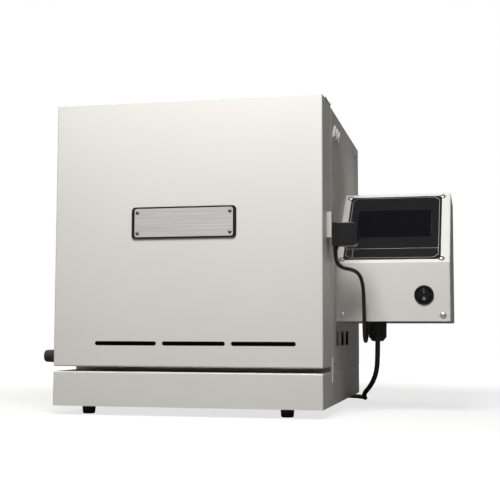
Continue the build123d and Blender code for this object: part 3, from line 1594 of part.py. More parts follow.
pieces = [
    base_pan.part, base_feet.part, body_spacers.part, base_straps.part,
    body_casing.part, body_floor.part, back_panel.part, casing_screws.part,
    front_frame.part, lining_left, lining_right, lining_floor.part, lining_roof.part,
    lining_back.part, heating_elements.part, terminal_blocks.part, thermocouple.part,
    vent_tube.part, lining_rails.part, hearth_posts.part, hearth_plate.part,
    door_skin.part, door_block.part, door_inner_frame.part, door_plug.part, door_gasket.part,
    nameplate_frame.part, nameplate.part, nameplate_screws.part, door_knob.part,
    door_magnet.part, hinge_door_leaf, hinge_body_leaf, hinge_pin.part,
    door_hinge_screws.part, body_hinge_screws.part, switch_bracket.part, door_switch.part,
    sensor_gland.part, sensor_cable, control_box_shell.part, control_box_chassis.part,
    bright_screws.part, lead_grommet.part, control_overlay.part, display_window.part,
    display_module.part, controller_board.part, heat_sink.part, power_relay.part,
    terminal_strip.part, rocker_bezel.part, rocker.part, cord_gland.part,
    cord_gland_nut.part, power_cord, cord_coil.part, cord_tie.part, plug_body.part,
    plug_pins.part,
]
os.makedirs("parts", exist_ok=True)
for piece in pieces:
    export_step(piece, f"parts/{piece.label}.step")
print(len(pieces), "pieces")
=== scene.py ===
from math import atan2, cos, pi, radians, sin

import bmesh
import bpy
from mathutils import Matrix, Vector


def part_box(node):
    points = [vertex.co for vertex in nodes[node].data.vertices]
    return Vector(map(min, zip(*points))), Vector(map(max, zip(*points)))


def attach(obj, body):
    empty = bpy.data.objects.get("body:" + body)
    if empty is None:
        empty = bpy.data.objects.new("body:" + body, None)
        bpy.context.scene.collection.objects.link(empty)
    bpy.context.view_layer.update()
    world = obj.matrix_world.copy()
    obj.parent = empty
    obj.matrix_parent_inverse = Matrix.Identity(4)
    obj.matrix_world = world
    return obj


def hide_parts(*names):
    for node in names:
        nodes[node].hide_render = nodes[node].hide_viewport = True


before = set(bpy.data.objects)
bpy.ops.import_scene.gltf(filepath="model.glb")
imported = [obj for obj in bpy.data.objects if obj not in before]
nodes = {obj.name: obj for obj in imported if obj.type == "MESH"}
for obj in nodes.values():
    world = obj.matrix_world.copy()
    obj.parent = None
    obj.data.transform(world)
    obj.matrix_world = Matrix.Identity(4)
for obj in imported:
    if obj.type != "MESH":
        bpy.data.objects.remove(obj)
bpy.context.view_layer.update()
scene = bpy.context.scene
scene.view_settings.view_transform = "Standard"

# Camera: it stands in front of the kiln, right of its middle and about as high as its base,
# and looks a little upwards and to the left.
camera_place = Vector((0.29006, -1.44264, 0.10484))
camera_left_turn = radians(12.433)
camera_up_tilt = radians(4.774)
camera_roll = radians(0.156)
camera_gate = 36.0
camera_lens = 72.54
camera_data = bpy.data.cameras.new("camera")
camera_data.sensor_width = camera_gate
camera_data.lens = camera_lens
camera = bpy.data.objects.new("camera", camera_data)
camera.matrix_world = (
    Matrix.Translation(camera_place)
    @ Matrix.Rotation(camera_left_turn, 4, "Z")
    @ Matrix.Rotation(pi / 2 + camera_up_tilt, 4, "X")
    @ Matrix.Rotation(camera_roll, 4, "Z")
)
scene.collection.objects.link(camera)
scene.camera = camera

# Floor and studio: a wide pale table top that keeps the kiln's shadow and fades to white away
# from it, in a white room. The kiln is lit by three soft lamps and a dimmer sky.
floor_half = 4.0
floor_tint = (0.26, 0.257, 0.254, 1.0)
glow_near, glow_far = 0.74, 1.0
glow_start, glow_end = 0.45, 1.1
sky_strength = 0.13
sky_tint = (1.0, 0.985, 0.975, 1.0)
room_white = (1.0, 1.0, 1.0, 1.0)


def add_node(tree, kind, inputs=(), **settings):
    """Adds a shader node with its settings and the plain values of its sockets."""
    node = tree.nodes.new("ShaderNode" + kind)
    for label, value in settings.items():
        setattr(node, label, value)
    for label, value in dict(inputs).items():
        node.inputs[label].default_value = value
    return node


def join_nodes(tree, *pairs):
    """Links each (output socket, input socket) pair of a node tree."""
    for output, target in pairs:
        tree.links.new(output, target)


floor_mesh = bpy.data.meshes.new("floor")
floor_mesh.from_pydata(
    [(x, y, 0.0) for x, y in ((-1, -1), (1, -1), (1, 1), (-1, 1))], [], [(0, 1, 2, 3)]
)
floor_mesh.transform(Matrix.Scale(floor_half, 4))
floor = bpy.data.objects.new("floor", floor_mesh)
scene.collection.objects.link(floor)

floor_material = bpy.data.materials.new("floor")
floor_material.use_nodes = True
tree = floor_material.node_tree
tree.nodes.clear()
floor_output = add_node(tree, "OutputMaterial")
floor_sum = add_node(tree, "AddShader")
floor_diffuse = add_node(tree, "BsdfDiffuse", {"Color": floor_tint})
floor_light = add_node(tree, "Emission")
floor_rays = add_node(tree, "LightPath")
floor_seen = add_node(tree, "Math", operation="MULTIPLY")
floor_place = add_node(tree, "TexCoord")
floor_reach = add_node(tree, "VectorMath", operation="LENGTH")
floor_ramp = add_node(
    tree,
    "MapRange",
    {"From Min": glow_start, "From Max": glow_end, "To Min": glow_near, "To Max": glow_far},
    interpolation_type="SMOOTHSTEP",
)
join_nodes(
    tree,
    (floor_place.outputs["Object"], floor_reach.inputs[0]),
    (floor_reach.outputs["Value"], floor_ramp.inputs["Value"]),
    (floor_ramp.outputs["Result"], floor_seen.inputs[1]),
    (floor_rays.outputs["Is Camera Ray"], floor_seen.inputs[0]),
    (floor_seen.outputs[0], floor_light.inputs["Strength"]),
    (floor_diffuse.outputs[0], floor_sum.inputs[0]),
    (floor_light.outputs[0], floor_sum.inputs[1]),
    (floor_sum.outputs[0], floor_output.inputs["Surface"]),
)
floor_mesh.materials.append(floor_material)

world = bpy.data.worlds.new("studio")
world.use_nodes = True
scene.world = world
tree = world.node_tree
tree.nodes.clear()
world_output = add_node(tree, "OutputWorld")
world_mix = add_node(tree, "MixShader")
world_sky = add_node(tree, "Background", {"Color": sky_tint, "Strength": sky_strength})
world_white = add_node(tree, "Background", {"Color": room_white})
world_rays = add_node(tree, "LightPath")
world_through = add_node(tree, "Math", operation="MAXIMUM")
join_nodes(
    tree,
    (world_rays.outputs["Is Camera Ray"], world_through.inputs[0]),
    (world_rays.outputs["Is Transmission Ray"], world_through.inputs[1]),
    (world_through.outputs[0], world_mix.inputs["Fac"]),
    (world_sky.outputs[0], world_mix.inputs[1]),
    (world_white.outputs[0], world_mix.inputs[2]),
    (world_mix.outputs[0], world_output.inputs["Surface"]),
)

door_low, door_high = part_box("door_skin")
door_middle = (door_low + door_high) / 2


def soft_lamp(name, place, width, height, power):
    """Rectangular lamp aimed at the middle of the door."""
    data = bpy.data.lights.new(name, "AREA")
    data.shape = "RECTANGLE"
    data.size = width
    data.size_y = height
    data.energy = power
    lamp = bpy.data.objects.new(name, data)
    aim = (door_middle - Vector(place)).to_track_quat("-Z", "Y")
    lamp.matrix_world = Matrix.Translation(place) @ aim.to_matrix().to_4x4()
    scene.collection.objects.link(lamp)


soft_lamp("key_lamp", (0.06, -0.82, 1.12), width=0.4, height=0.5, power=16.0)
soft_lamp("top_lamp", (-1.0, 0.5, 1.5), width=1.0, height=1.0, power=6.0)
soft_lamp("side_lamp", (1.9, -0.2, 1.1), width=1.0, height=1.2, power=0.8)

# Base tray: one sheet of steel folded into a pan that stands upside down under the kiln, powder
# coated in warm white like the rest of the outer sheets. The coat has a faint orange peel.
cream = (0.785, 0.765, 0.722)
cream_shade = (0.755, 0.733, 0.685)


def effect_group(name, **inputs):
    """Empty shader node group with named inputs, which puts out a 0 to 1 tone and a normal."""
    group = bpy.data.node_groups.new(name, "ShaderNodeTree")
    for label, kind in inputs.items():
        group.interface.new_socket(name=label, in_out="INPUT", socket_type="NodeSocket" + kind)
    for label, kind in (("Tone", "Float"), ("Normal", "Vector")):
        group.interface.new_socket(name=label, in_out="OUTPUT", socket_type="NodeSocket" + kind)
    return group, group.nodes.new("NodeGroupInput"), group.nodes.new("NodeGroupOutput")


def grained_finish(name, colours, roughness, group, metallic=0.0, **values):
    """Material with an effect's grain, placed with this material's own values.

    The effect's tone mixes two colours and runs the roughness between two numbers. Where one
    colour or one number is given, it stays plain on the shader's own socket. Print and glass
    give no Depth and stay flat.
    """
    material = bpy.data.materials.new(name)
    material.use_nodes = True
    tree = material.node_tree
    shader = tree.nodes["Principled BSDF"]
    shader.inputs["Base Color"].default_value = (*colours[0], 1.0)
    shader.inputs["Roughness"].default_value = roughness[0]
    shader.inputs["Metallic"].default_value = metallic
    effect = add_node(tree, "Group", node_tree=group)
    for label, value in values.items():
        effect.inputs[label].default_value = value
    if len(colours) == 2:
        first, second = ((*colour, 1.0) for colour in colours)
        mix = add_node(tree, "Mix", data_type="RGBA")
        mix.inputs["A"].default_value = first
        mix.inputs["B"].default_value = second
        join_nodes(
            tree,
            (effect.outputs["Tone"], mix.inputs["Factor"]),
            (mix.outputs["Result"], shader.inputs["Base Color"]),
        )
    if len(roughness) == 2:
        ramp = add_node(tree, "MapRange", {"To Min": roughness[0], "To Max": roughness[1]})
        join_nodes(
            tree,
            (effect.outputs["Tone"], ramp.inputs["Value"]),
            (ramp.outputs["Result"], shader.inputs["Roughness"]),
        )
    if "Depth" in values:
        tree.links.new(effect.outputs["Normal"], shader.inputs["Normal"])
    return material


def dress(material, *names):
    """Gives CAD nodes their finish."""
    for name in names:
        piece = nodes[name]
        if not piece.material_slots:
            piece.data.materials.append(material)
        for item in piece.material_slots:
            item.material = material


coat_grain, inner, outer = effect_group("coat_grain", Size="Float", Depth="Float", Patch="Float")
place = add_node(coat_grain, "TexCoord")
peel = add_node(coat_grain, "TexNoise", {"Detail": 2.0})
patches = add_node(coat_grain, "TexNoise", {"Detail": 3.0})
bump = add_node(coat_grain, "Bump", {"Distance": 0.0002})
join_nodes(
    coat_grain,
    (place.outputs["Object"], peel.inputs["Vector"]),
    (place.outputs["Object"], patches.inputs["Vector"]),
    (inner.outputs["Size"], peel.inputs["Scale"]),
    (inner.outputs["Patch"], patches.inputs["Scale"]),
    (inner.outputs["Depth"], bump.inputs["Strength"]),
    (peel.outputs["Fac"], bump.inputs["Height"]),
    (patches.outputs["Fac"], outer.inputs["Tone"]),
    (bump.outputs["Normal"], outer.inputs["Normal"]),
)
cream_coat = grained_finish(
    "cream_coat", [cream_shade, cream], [0.36, 0.47],
    coat_grain, Size=1100.0, Depth=0.06, Patch=9.0,
)
dress(cream_coat, "base_pan")

# Feet: four black rubber cups, slightly dusty, each held to the tray by a pan-headed screw that
# goes in from below.
soft_rubber = grained_finish(
    "soft_rubber", [(0.014, 0.014, 0.0145), (0.034, 0.033, 0.032)], [0.5, 0.75],
    coat_grain, Size=2200.0, Depth=0.12, Patch=70.0,
)
dress(soft_rubber, "base_feet")

# Spacers and straps: four fired-clay buttons hold the kiln's body off the tray, and a coated
# steel strap on each side, screwed to both, keeps the two together.
grit, inner, outer = effect_group("grit", Size="Float", Depth="Float")
place = add_node(grit, "TexCoord")
sand = add_node(grit, "TexNoise", {"Detail": 6.0, "Roughness": 0.72})
pits = add_node(grit, "TexVoronoi")
both = add_node(grit, "Math", operation="MULTIPLY")
bump = add_node(grit, "Bump", {"Distance": 0.0006})
join_nodes(
    grit,
    (place.outputs["Object"], sand.inputs["Vector"]),
    (place.outputs["Object"], pits.inputs["Vector"]),
    (inner.outputs["Size"], sand.inputs["Scale"]),
    (inner.outputs["Size"], pits.inputs["Scale"]),
    (inner.outputs["Depth"], bump.inputs["Strength"]),
    (sand.outputs["Fac"], both.inputs[0]),
    (pits.outputs["Distance"], both.inputs[1]),
    (both.outputs[0], bump.inputs["Height"]),
    (sand.outputs["Fac"], outer.inputs["Tone"]),
    (bump.outputs["Normal"], outer.inputs["Normal"]),
)
fired_clay = grained_finish(
    "fired_clay", [(0.60, 0.53, 0.43), (0.72, 0.66, 0.56)], [0.9],
    grit, Size=420.0, Depth=0.8,
)
dress(fired_clay, "body_spacers")
dress(cream_coat, "base_straps")

# Body: the casing is folded from one sheet over the left side, the roof and the right side,
# with pressed louvres and cooling slots, and a slotted panel is screwed to its back flanges.
dress(cream_coat, "body_casing", "back_panel")

# Bright sheets: the floor tray and the front frame that the door's gasket meets are bare
# zinc-coated steel, like the rails that keep the roof lining in place.
brushed, inner, outer = effect_group("brushed", Stretch="Vector", Depth="Float")
place = add_node(brushed, "TexCoord")
pull = add_node(brushed, "VectorMath", operation="MULTIPLY")
lines = add_node(brushed, "TexNoise", {"Scale": 1.0, "Detail": 4.0, "Roughness": 0.65})
bump = add_node(brushed, "Bump", {"Distance": 0.0001})
join_nodes(
    brushed,
    (place.outputs["Object"], pull.inputs[0]),
    (inner.outputs["Stretch"], pull.inputs[1]),
    (pull.outputs["Vector"], lines.inputs["Vector"]),
    (inner.outputs["Depth"], bump.inputs["Strength"]),
    (lines.outputs["Fac"], bump.inputs["Height"]),
    (lines.outputs["Fac"], outer.inputs["Tone"]),
    (bump.outputs["Normal"], outer.inputs["Normal"]),
)
zinc_sheet = grained_finish(
    "zinc_sheet", [(0.50, 0.505, 0.515), (0.66, 0.665, 0.67)], [0.26, 0.48],
    brushed, metallic=1.0, Stretch=(60.0, 60.0, 900.0), Depth=0.12,
)
dress(zinc_sheet, "body_floor", "front_frame", "lining_rails")

# Screws: zinc-plated, with domed heads and a cross recess. They hold the feet, the straps, the
# back panel, the rails and the control box's wall.
plated_screw = grained_finish(
    "plated_screw", [(0.62, 0.62, 0.61)], [0.2, 0.38],
    coat_grain, metallic=1.0, Size=1500.0, Depth=0.05, Patch=300.0,
)
dress(plated_screw, "casing_screws")

# Lining: slabs of pressed ceramic fibre around a square chamber, chalky and slightly uneven,
# with a hairpin groove for a heating element in each side slab.
fibres, inner, outer = effect_group("fibres", Size="Float", Depth="Float")
place = add_node(fibres, "TexCoord")
strands = add_node(fibres, "TexNoise", {"Detail": 8.0, "Roughness": 0.7, "Distortion": 1.6})
clouds = add_node(fibres, "TexNoise", {"Scale": 22.0, "Detail": 4.0})
bump = add_node(fibres, "Bump", {"Distance": 0.0008})
join_nodes(
    fibres,
    (place.outputs["Object"], strands.inputs["Vector"]),
    (place.outputs["Object"], clouds.inputs["Vector"]),
    (inner.outputs["Size"], strands.inputs["Scale"]),
    (inner.outputs["Depth"], bump.inputs["Strength"]),
    (strands.outputs["Fac"], bump.inputs["Height"]),
    (clouds.outputs["Fac"], outer.inputs["Tone"]),
    (bump.outputs["Normal"], outer.inputs["Normal"]),
)
fibre_board = grained_finish(
    "fibre_board", [(0.70, 0.655, 0.575), (0.80, 0.775, 0.72)], [0.95],
    fibres, Size=260.0, Depth=0.7,
)
dress(fibre_board, "lining_left", "lining_right", "lining_floor", "lining_roof", "lining_back")

# Heating elements: a coil of oxidised resistance wire in each side slab, laid to and fro in the
# hairpin groove, with straight tails that go through the back slab to their terminals.
wire_radius = 0.0006
coil_outer_radius = 0.0045
wire_pitch = 0.0036
points_per_turn = 10
wire_tail = 0.014
wire_swell = 0.004
element_x = 0.123
element_front_y = -0.0843
element_rear_y = 0.0977
element_tail_y = 0.1888
run_pitch = 0.036
run_count = 6
lining_low, lining_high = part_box("lining_back")
chamber_middle = (lining_low + lining_high) / 2
turn_radius = run_pitch / 2
run_heights = [
    chamber_middle.z + (index - (run_count - 1) / 2) * run_pitch for index in range(run_count)
]


def hairpin_points(step):
    """Points of the groove's middle line (along Y, height), a step apart."""
    line = []

    def straight(start, end, height):
        count = max(2, round(abs(end - start) / step))
        line.extend((start + (end - start) * i / count, height) for i in range(count))

    def turn(centre_y, low, outward):
        count = round(pi * turn_radius / step)
        for i in range(count):
            angle = -pi / 2 + pi * i / count
            line.append((
                centre_y + outward * turn_radius * cos(angle),
                low + turn_radius + turn_radius * sin(angle),
            ))

    straight(element_tail_y, element_front_y, run_heights[0])
    ends = ((element_front_y, -1), (element_rear_y, 1))
    for index in range(run_count - 1):
        (here, outward), (there, _) = ends if index % 2 == 0 else ends[::-1]
        turn(here, run_heights[index], outward)
        if index < run_count - 2:
            straight(here, there, run_heights[index + 1])
    straight(element_front_y, element_tail_y, run_heights[-1])
    line.append((element_tail_y, run_heights[-1]))
    return [Vector(point) for point in line]


element_wire = grained_finish(
    "element_wire", [(0.05, 0.046, 0.043), (0.15, 0.125, 0.105)], [0.55],
    coat_grain, metallic=0.6, Size=2500.0, Depth=0.25, Patch=90.0,
)
centre_line = hairpin_points(wire_pitch / points_per_turn)
whole = sum((after - before).length for before, after in zip(centre_line, centre_line[1:]))
for side_name, side in (("left", -1), ("right", 1)):
    curve = bpy.data.curves.new("element_" + side_name, "CURVE")
    curve.dimensions = "3D"
    curve.bevel_depth = wire_radius
    curve.bevel_resolution = 1
    spline = curve.splines.new("POLY")
    spline.points.add(len(centre_line) - 1)
    travelled = 0.0
    for index, spot in enumerate(centre_line):
        before = centre_line[max(index - 1, 0)]
        after = centre_line[min(index + 1, len(centre_line) - 1)]
        travelled += (spot - before).length
        along = (after - before).normalized()
        from_end = min(travelled, whole - travelled)
        swell = min(1.0, max(0.0, from_end - wire_tail) / wire_swell)
        reach = swell * (coil_outer_radius - wire_radius)
        angle = 2 * pi * travelled / wire_pitch
        x = chamber_middle.x + side * element_x + reach * cos(angle)
        y, z = spot + Vector((-along.y, along.x)) * reach * sin(angle)
        spline.points[index].co = (x, y, z, 1.0)
    element = bpy.data.objects.new("element_" + side_name, curve)
    scene.collection.objects.link(element)
    curve.materials.append(element_wire)
    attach(element, "kiln")
    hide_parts("heating_elements")

# Chamber fittings: ceramic terminal blocks behind the lining, a fired-clay shelf on four posts,
# and the thermocouple and the fume outlet, both in white ceramic tubes through the back.
white_ceramic = grained_finish(
    "white_ceramic", [(0.70, 0.68, 0.63), (0.83, 0.82, 0.78)], [0.55],
    grit, Size=700.0, Depth=0.15,
)
dress(white_ceramic, "terminal_blocks", "thermocouple", "vent_tube")
dress(fired_clay, "hearth_posts", "hearth_plate")

# Door: a deep pan folded and welded from one sheet, coated like the body, with three cooling
# slots along its foot. A slab of mineral wool fills it behind an air gap, under a bright inner
# frame, and a step of pale fibre board plugs the chamber's mouth. The slab is coloured
# near-black as painted shade for the dark seen through the slots.
dress(cream_coat, "door_skin")
dress(fibre_board, "door_plug")
dress(zinc_sheet, "door_inner_frame")
# Painted shade: the slab behind the slots is coloured near-black, as dark as the shadow that shows
# through them.
painted_shade_slab = grained_finish(
    "painted_shade_slab", [(0.03, 0.029, 0.027), (0.045, 0.043, 0.040)], [0.95],
    fibres, Size=180.0, Depth=0.8,
)
dress(painted_shade_slab, "door_block")
magnet_black = grained_finish(
    "magnet_black", [(0.06, 0.06, 0.06)], [0.5],
    grit, metallic=0.7, Size=900.0, Depth=0.2,
)
dress(magnet_black, "door_magnet")

# Door gasket: a woven ceramic-fibre tape laid flat around the chamber's mouth and tucked
# against the door. It is soft, so its faces bulge and its edges are rounded.
tape_low, tape_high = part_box("door_gasket")
tape_middle = (tape_low + tape_high) / 2
tape_edge_slack = 0.0003
tape_face_slack = 0.0001
tape_width = 0.0174
tape_thickness = tape_high.y - tape_low.y - 2 * tape_face_slack
tape_half = (tape_high.x - tape_low.x - tape_width) / 2 - tape_edge_slack
tape_corner = 0.014
tape_step = 0.0011
tape_yarn = 0.0044
tape_edge_power = 0.55
tape_face_power = 0.75
edge_weave = 0.0002
face_weave = 0.00015
points_per_ring = 22


def rounded_loop(half_width, half_height, corner, step):
    """Points and outward directions round a rectangle with round corners, anticlockwise."""
    loop = []
    corners = [(1, -1, -90), (1, 1, 0), (-1, 1, 90), (-1, -1, 180)]
    arc_count = max(3, round(corner * pi / 2 / step))
    for index, (side, row, start) in enumerate(corners):
        centre = Vector((side * (half_width - corner), row * (half_height - corner)))
        for i in range(arc_count):
            angle = radians(start + 90 * i / arc_count)
            out = Vector((cos(angle), sin(angle)))
            loop.append((centre + out * corner, out))
        next_side, next_row, _ = corners[(index + 1) % 4]
        angle = radians(start + 90)
        out = Vector((cos(angle), sin(angle)))
        begin = centre + out * corner
        next_centre = Vector((next_side * (half_width - corner), next_row * (half_height - corner)))
        end = next_centre + out * corner
        count = max(1, round((end - begin).length / step))
        loop.extend((begin.lerp(end, i / count), out) for i in range(count))
    return loop


def bulged(value, power):
    """Signed power of a sine or cosine, which squares a circle off."""
    return abs(value) ** power * (1 if value >= 0 else -1)


tape_mesh = bmesh.new()
rings = []
for index, (spot, out) in enumerate(rounded_loop(tape_half, tape_half, tape_corner, tape_step)):
    ring = []
    along = index * tape_step / tape_yarn
    for k in range(points_per_ring):
        angle = 2 * pi * k / points_per_ring
        weave = sin(2 * pi * (along + k / 4)) * sin(2 * pi * (along - k / 4)) - 1
        reach_out = bulged(cos(angle), tape_edge_power) * (tape_width / 2 + edge_weave * weave)
        reach_up = bulged(sin(angle), tape_face_power) * (tape_thickness / 2 + face_weave * weave)
        flat = spot + out * reach_out
        ring.append(tape_mesh.verts.new(tape_middle + Vector((flat.x, reach_up, flat.y))))
    rings.append(ring)
for here, there in zip(rings, rings[1:] + rings[:1]):
    for k in range(points_per_ring):
        near = (k + 1) % points_per_ring
        tape_mesh.faces.new((here[k], here[near], there[near], there[k]))
bmesh.ops.recalc_face_normals(tape_mesh, faces=tape_mesh.faces)
tape_data = bpy.data.meshes.new("gasket_tape")
tape_mesh.to_mesh(tape_data)
tape_mesh.free()
tape_data.polygons.foreach_set("use_smooth", [True] * len(tape_data.polygons))
tape = bpy.data.objects.new("gasket_tape", tape_data)
scene.collection.objects.link(tape)

yarns, inner, outer = effect_group("yarns", Stretch="Vector", Depth="Float")
place = add_node(yarns, "TexCoord")
pull = add_node(yarns, "VectorMath", operation="MULTIPLY")
cut = add_node(yarns, "SeparateXYZ")
waves = [add_node(yarns, "Math", operation="SINE") for _ in "XYZ"]
for axis, wave in zip("XYZ", waves):
    yarns.links.new(cut.outputs[axis], wave.inputs[0])
across = add_node(yarns, "Math", operation="ADD")
all_three = add_node(yarns, "Math", operation="ADD")
fuzz = add_node(yarns, "TexNoise", {"Scale": 1800.0, "Detail": 4.0})
crossing = add_node(yarns, "Math", {1: 0.3}, operation="MULTIPLY_ADD")
level = add_node(yarns, "MapRange", {"From Min": -2.0, "From Max": 2.4})
bump = add_node(yarns, "Bump", {"Distance": 0.0005})
join_nodes(
    yarns,
    (place.outputs["Object"], pull.inputs[0]),
    (inner.outputs["Stretch"], pull.inputs[1]),
    (pull.outputs["Vector"], cut.inputs[0]),
    (place.outputs["Object"], fuzz.inputs["Vector"]),
    (waves[0].outputs[0], across.inputs[0]),
    (waves[2].outputs[0], across.inputs[1]),
    (across.outputs[0], all_three.inputs[0]),
    (waves[1].outputs[0], all_three.inputs[1]),
    (all_three.outputs[0], crossing.inputs[0]),
    (fuzz.outputs["Fac"], crossing.inputs[2]),
    (crossing.outputs[0], bump.inputs["Height"]),
    (all_three.outputs[0], level.inputs["Value"]),
    (inner.outputs["Depth"], bump.inputs["Strength"]),
    (level.outputs["Result"], outer.inputs["Tone"]),
    (bump.outputs["Normal"], outer.inputs["Normal"]),
)
fibre_tape = grained_finish(
    "fibre_tape", [(0.62, 0.60, 0.555), (0.84, 0.83, 0.79)], [0.95],
    yarns, Stretch=(3200.0, 3200.0, 3200.0), Depth=0.8,
)
tape_data.materials.append(fibre_tape)
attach(tape, "door")
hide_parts("door_gasket")

# Nameplate: a bare plate of steel brushed along its length, sunk in a black moulded frame and
# held by four small pan-headed screws that have dulled.
plate_steel = grained_finish(
    "plate_steel", [(0.42, 0.385, 0.37), (1.0, 0.975, 0.955)], [0.28, 0.5],
    brushed, metallic=0.3, Stretch=(11.0, 400.0, 1500.0), Depth=0.25,
)
dress(plate_steel, "nameplate")
moulded_black = grained_finish(
    "moulded_black", [(0.012, 0.012, 0.0125)], [0.28, 0.42],
    coat_grain, Size=2600.0, Depth=0.1, Patch=40.0,
)
dress(moulded_black, "nameplate_frame")
dull_screw = grained_finish(
    "dull_screw", [(0.20, 0.185, 0.175)], [0.25, 0.45],
    coat_grain, metallic=1.0, Size=1500.0, Depth=0.05, Patch=300.0,
)
dress(dull_screw, "nameplate_screws")

# Lift knob: a black rubber bumper screwed low on the door's left side, used to swing the door
# up without touching its hot sheet.
dress(soft_rubber, "door_knob")

# Hinge along the top edge: two coated leaves with interleaved knuckles on one steel pin, held
# to the door and to the roof by countersunk screws.
dress(cream_coat, "hinge_door_leaf", "hinge_body_leaf")
dress(plated_screw, "hinge_pin", "door_hinge_screws", "body_hinge_screws")

# Door switch: a coated bracket on the body's right side reaches past the door, and the black
# moulded switch on it reads the magnet inside the door.
dress(cream_coat, "switch_bracket")
dress(moulded_black, "door_switch")

# Control box: a coated shell with a sloping panel over a bright chassis, which is screwed to
# the kiln's right side. Nickel-plated screws hold the shell, the panel and the switch bracket,
# and a rubber grommet carries the leads to the elements.
dress(cream_coat, "control_box_shell")
dress(zinc_sheet, "control_box_chassis")
nickel_screw = grained_finish(
    "nickel_screw", [(0.90, 0.91, 0.92)], [0.25, 0.42],
    coat_grain, metallic=0.9, Size=1500.0, Depth=0.05, Patch=300.0,
)
dress(nickel_screw, "bright_screws")
dress(soft_rubber, "lead_grommet")

# Panel: a satin black printed film with a dark glossy window over the display. Fine printed
# lines frame the film, and a line with a short divider parts off its lower strip.
box_seat_gap = 0.0003
box_front_height = 0.0795
slope_rise = 0.1085
slope_run = 0.121
slope_angle = atan2(slope_rise, slope_run)
slope_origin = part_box("control_box_shell")[0] + Vector((-box_seat_gap, 0.0, box_front_height))
slope_up = Vector((0.0, cos(slope_angle), sin(slope_angle)))
slope_out = Vector((0.0, -sin(slope_angle), cos(slope_angle)))
film_left, film_right = (corner.x - slope_origin.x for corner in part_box("control_overlay"))
film_low, film_high = 0.0058, 0.1548
film_thickness = 0.0008
print_inset = 0.0032
print_notch = 0.0062
print_width = 0.00045
print_proud = 0.00006
strip_line_s = 0.0295
divider_u = 0.0215
mitre_limit = 0.4


def ribbon(points, width, closed):
    """Outline of a printed line: flat quads with mitred corners along the given points."""
    count = len(points)
    spots = [Vector(point) for point in points]
    edges = []
    for index, spot in enumerate(spots):
        before = spots[index - 1] if closed or index else None
        after = spots[(index + 1) % count] if closed or index < count - 1 else None
        turns = []
        if before is not None:
            turns.append((spot - before).normalized())
        if after is not None:
            turns.append((after - spot).normalized())
        normals = [Vector((-turn.y, turn.x)) for turn in turns]
        mitre = sum(normals, Vector((0.0, 0.0))).normalized()
        reach = width / 2 / max(mitre.dot(normals[0]), mitre_limit)
        edges.append((spot + mitre * reach, spot - mitre * reach))
    last = count if closed else count - 1
    return [(*edges[i], *reversed(edges[(i + 1) % count])) for i in range(last)]


def slab(name, quads, to_space, thickness, material):
    """Thin closed slabs over 2-D quads, set into space by a function of (u, s, height)."""
    mesh = bmesh.new()
    for quad in quads:
        low = [mesh.verts.new(to_space(u, s, 0.0)) for u, s in quad]
        high = [mesh.verts.new(to_space(u, s, thickness)) for u, s in quad]
        mesh.faces.new(low[::-1])
        mesh.faces.new(high)
        for k in range(4):
            near = (k + 1) % 4
            mesh.faces.new((low[k], low[near], high[near], high[k]))
    bmesh.ops.recalc_face_normals(mesh, faces=mesh.faces)
    data = bpy.data.meshes.new(name)
    mesh.to_mesh(data)
    mesh.free()
    data.materials.append(material)
    piece = bpy.data.objects.new(name, data)
    scene.collection.objects.link(piece)
    return piece


def on_slope(u, s, height):
    """Point of the box's sloping face, u along the box and s up the slope."""
    return slope_origin + Vector((u, 0.0, 0.0)) + slope_up * s + slope_out * height


def on_film(u, s, height):
    """Point of the film's face, which lies on the sloping face."""
    return on_slope(u, s, height + film_thickness)


panel_film = grained_finish(
    "panel_film", [(0.005, 0.005, 0.006)], [0.28, 0.4],
    coat_grain, Size=3000.0, Depth=0.08, Patch=30.0,
)
dress(panel_film, "control_overlay")
dark_window = grained_finish(
    "dark_window", [(0.004, 0.004, 0.005)], [0.05, 0.14],
    coat_grain, Size=300.0, Patch=25.0,
)
window_shader = dark_window.node_tree.nodes["Principled BSDF"]
window_shader.inputs["Specular IOR Level"].default_value = 0.16
dress(dark_window, "display_window")

print_grey = grained_finish(
    "print_grey", [(0.55, 0.55, 0.56)], [0.4, 0.55],
    coat_grain, Size=2500.0, Patch=200.0,
)
line_left, line_right = film_left + print_inset, film_right - print_inset
line_low, line_high = film_low + print_inset, film_high - print_inset
notched = []
for u, s, right, up in (
    (line_left, line_low, 1, 1), (line_right, line_low, -1, 1),
    (line_right, line_high, -1, -1), (line_left, line_high, 1, -1),
):
    first, second = (u, s + up * print_notch), (u + right * print_notch, s)
    notched.extend((first, second) if right * up > 0 else (second, first))
strip_line = [(line_left, strip_line_s), (line_right, strip_line_s)]
divider = [(divider_u, line_low), (divider_u, strip_line_s)]
frame_lines = ribbon(notched, print_width, True)
frame_lines += ribbon(strip_line, print_width, False)
frame_lines += ribbon(divider, print_width, False)
film_lines = slab("panel_lines", frame_lines, on_film, print_proud, print_grey)
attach(film_lines, "kiln")

# Dark rings round the panel's four screws: thin near-black rings between the bright heads and
# the coated box, painted shade for the shadow round each domed head.
screw_middle = Vector((film_left + film_right, film_low + film_high)) / 2
screw_half_pitch = (0.0668, 0.0735)
shade_ring_radius = 0.0037
shade_ring_width = 0.0009
shade_ring_thickness = 0.0006
circle_sides = 28


def circle_points(centre, radius):
    """Points round a circle, anticlockwise."""
    turns = [2 * pi * k / circle_sides for k in range(circle_sides)]
    return [(centre[0] + radius * cos(turn), centre[1] + radius * sin(turn)) for turn in turns]


# Painted shade: the near-black colour of the rings round the screw heads.
painted_shade_black = grained_finish(
    "painted_shade_black", [(0.02, 0.02, 0.021)], [0.35, 0.55],
    coat_grain, Size=2500.0, Patch=200.0,
)
shade_ring_quads = []
for side, row in ((-1, -1), (1, -1), (1, 1), (-1, 1)):
    spot = screw_middle + Vector((side * screw_half_pitch[0], row * screw_half_pitch[1]))
    shade_ring_quads += ribbon(circle_points(spot, shade_ring_radius), shade_ring_width, True)
painted_shade_rings = slab("panel_painted_shade_rings", shade_ring_quads, on_slope, shade_ring_thickness, painted_shade_black)
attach(painted_shade_rings, "kiln")

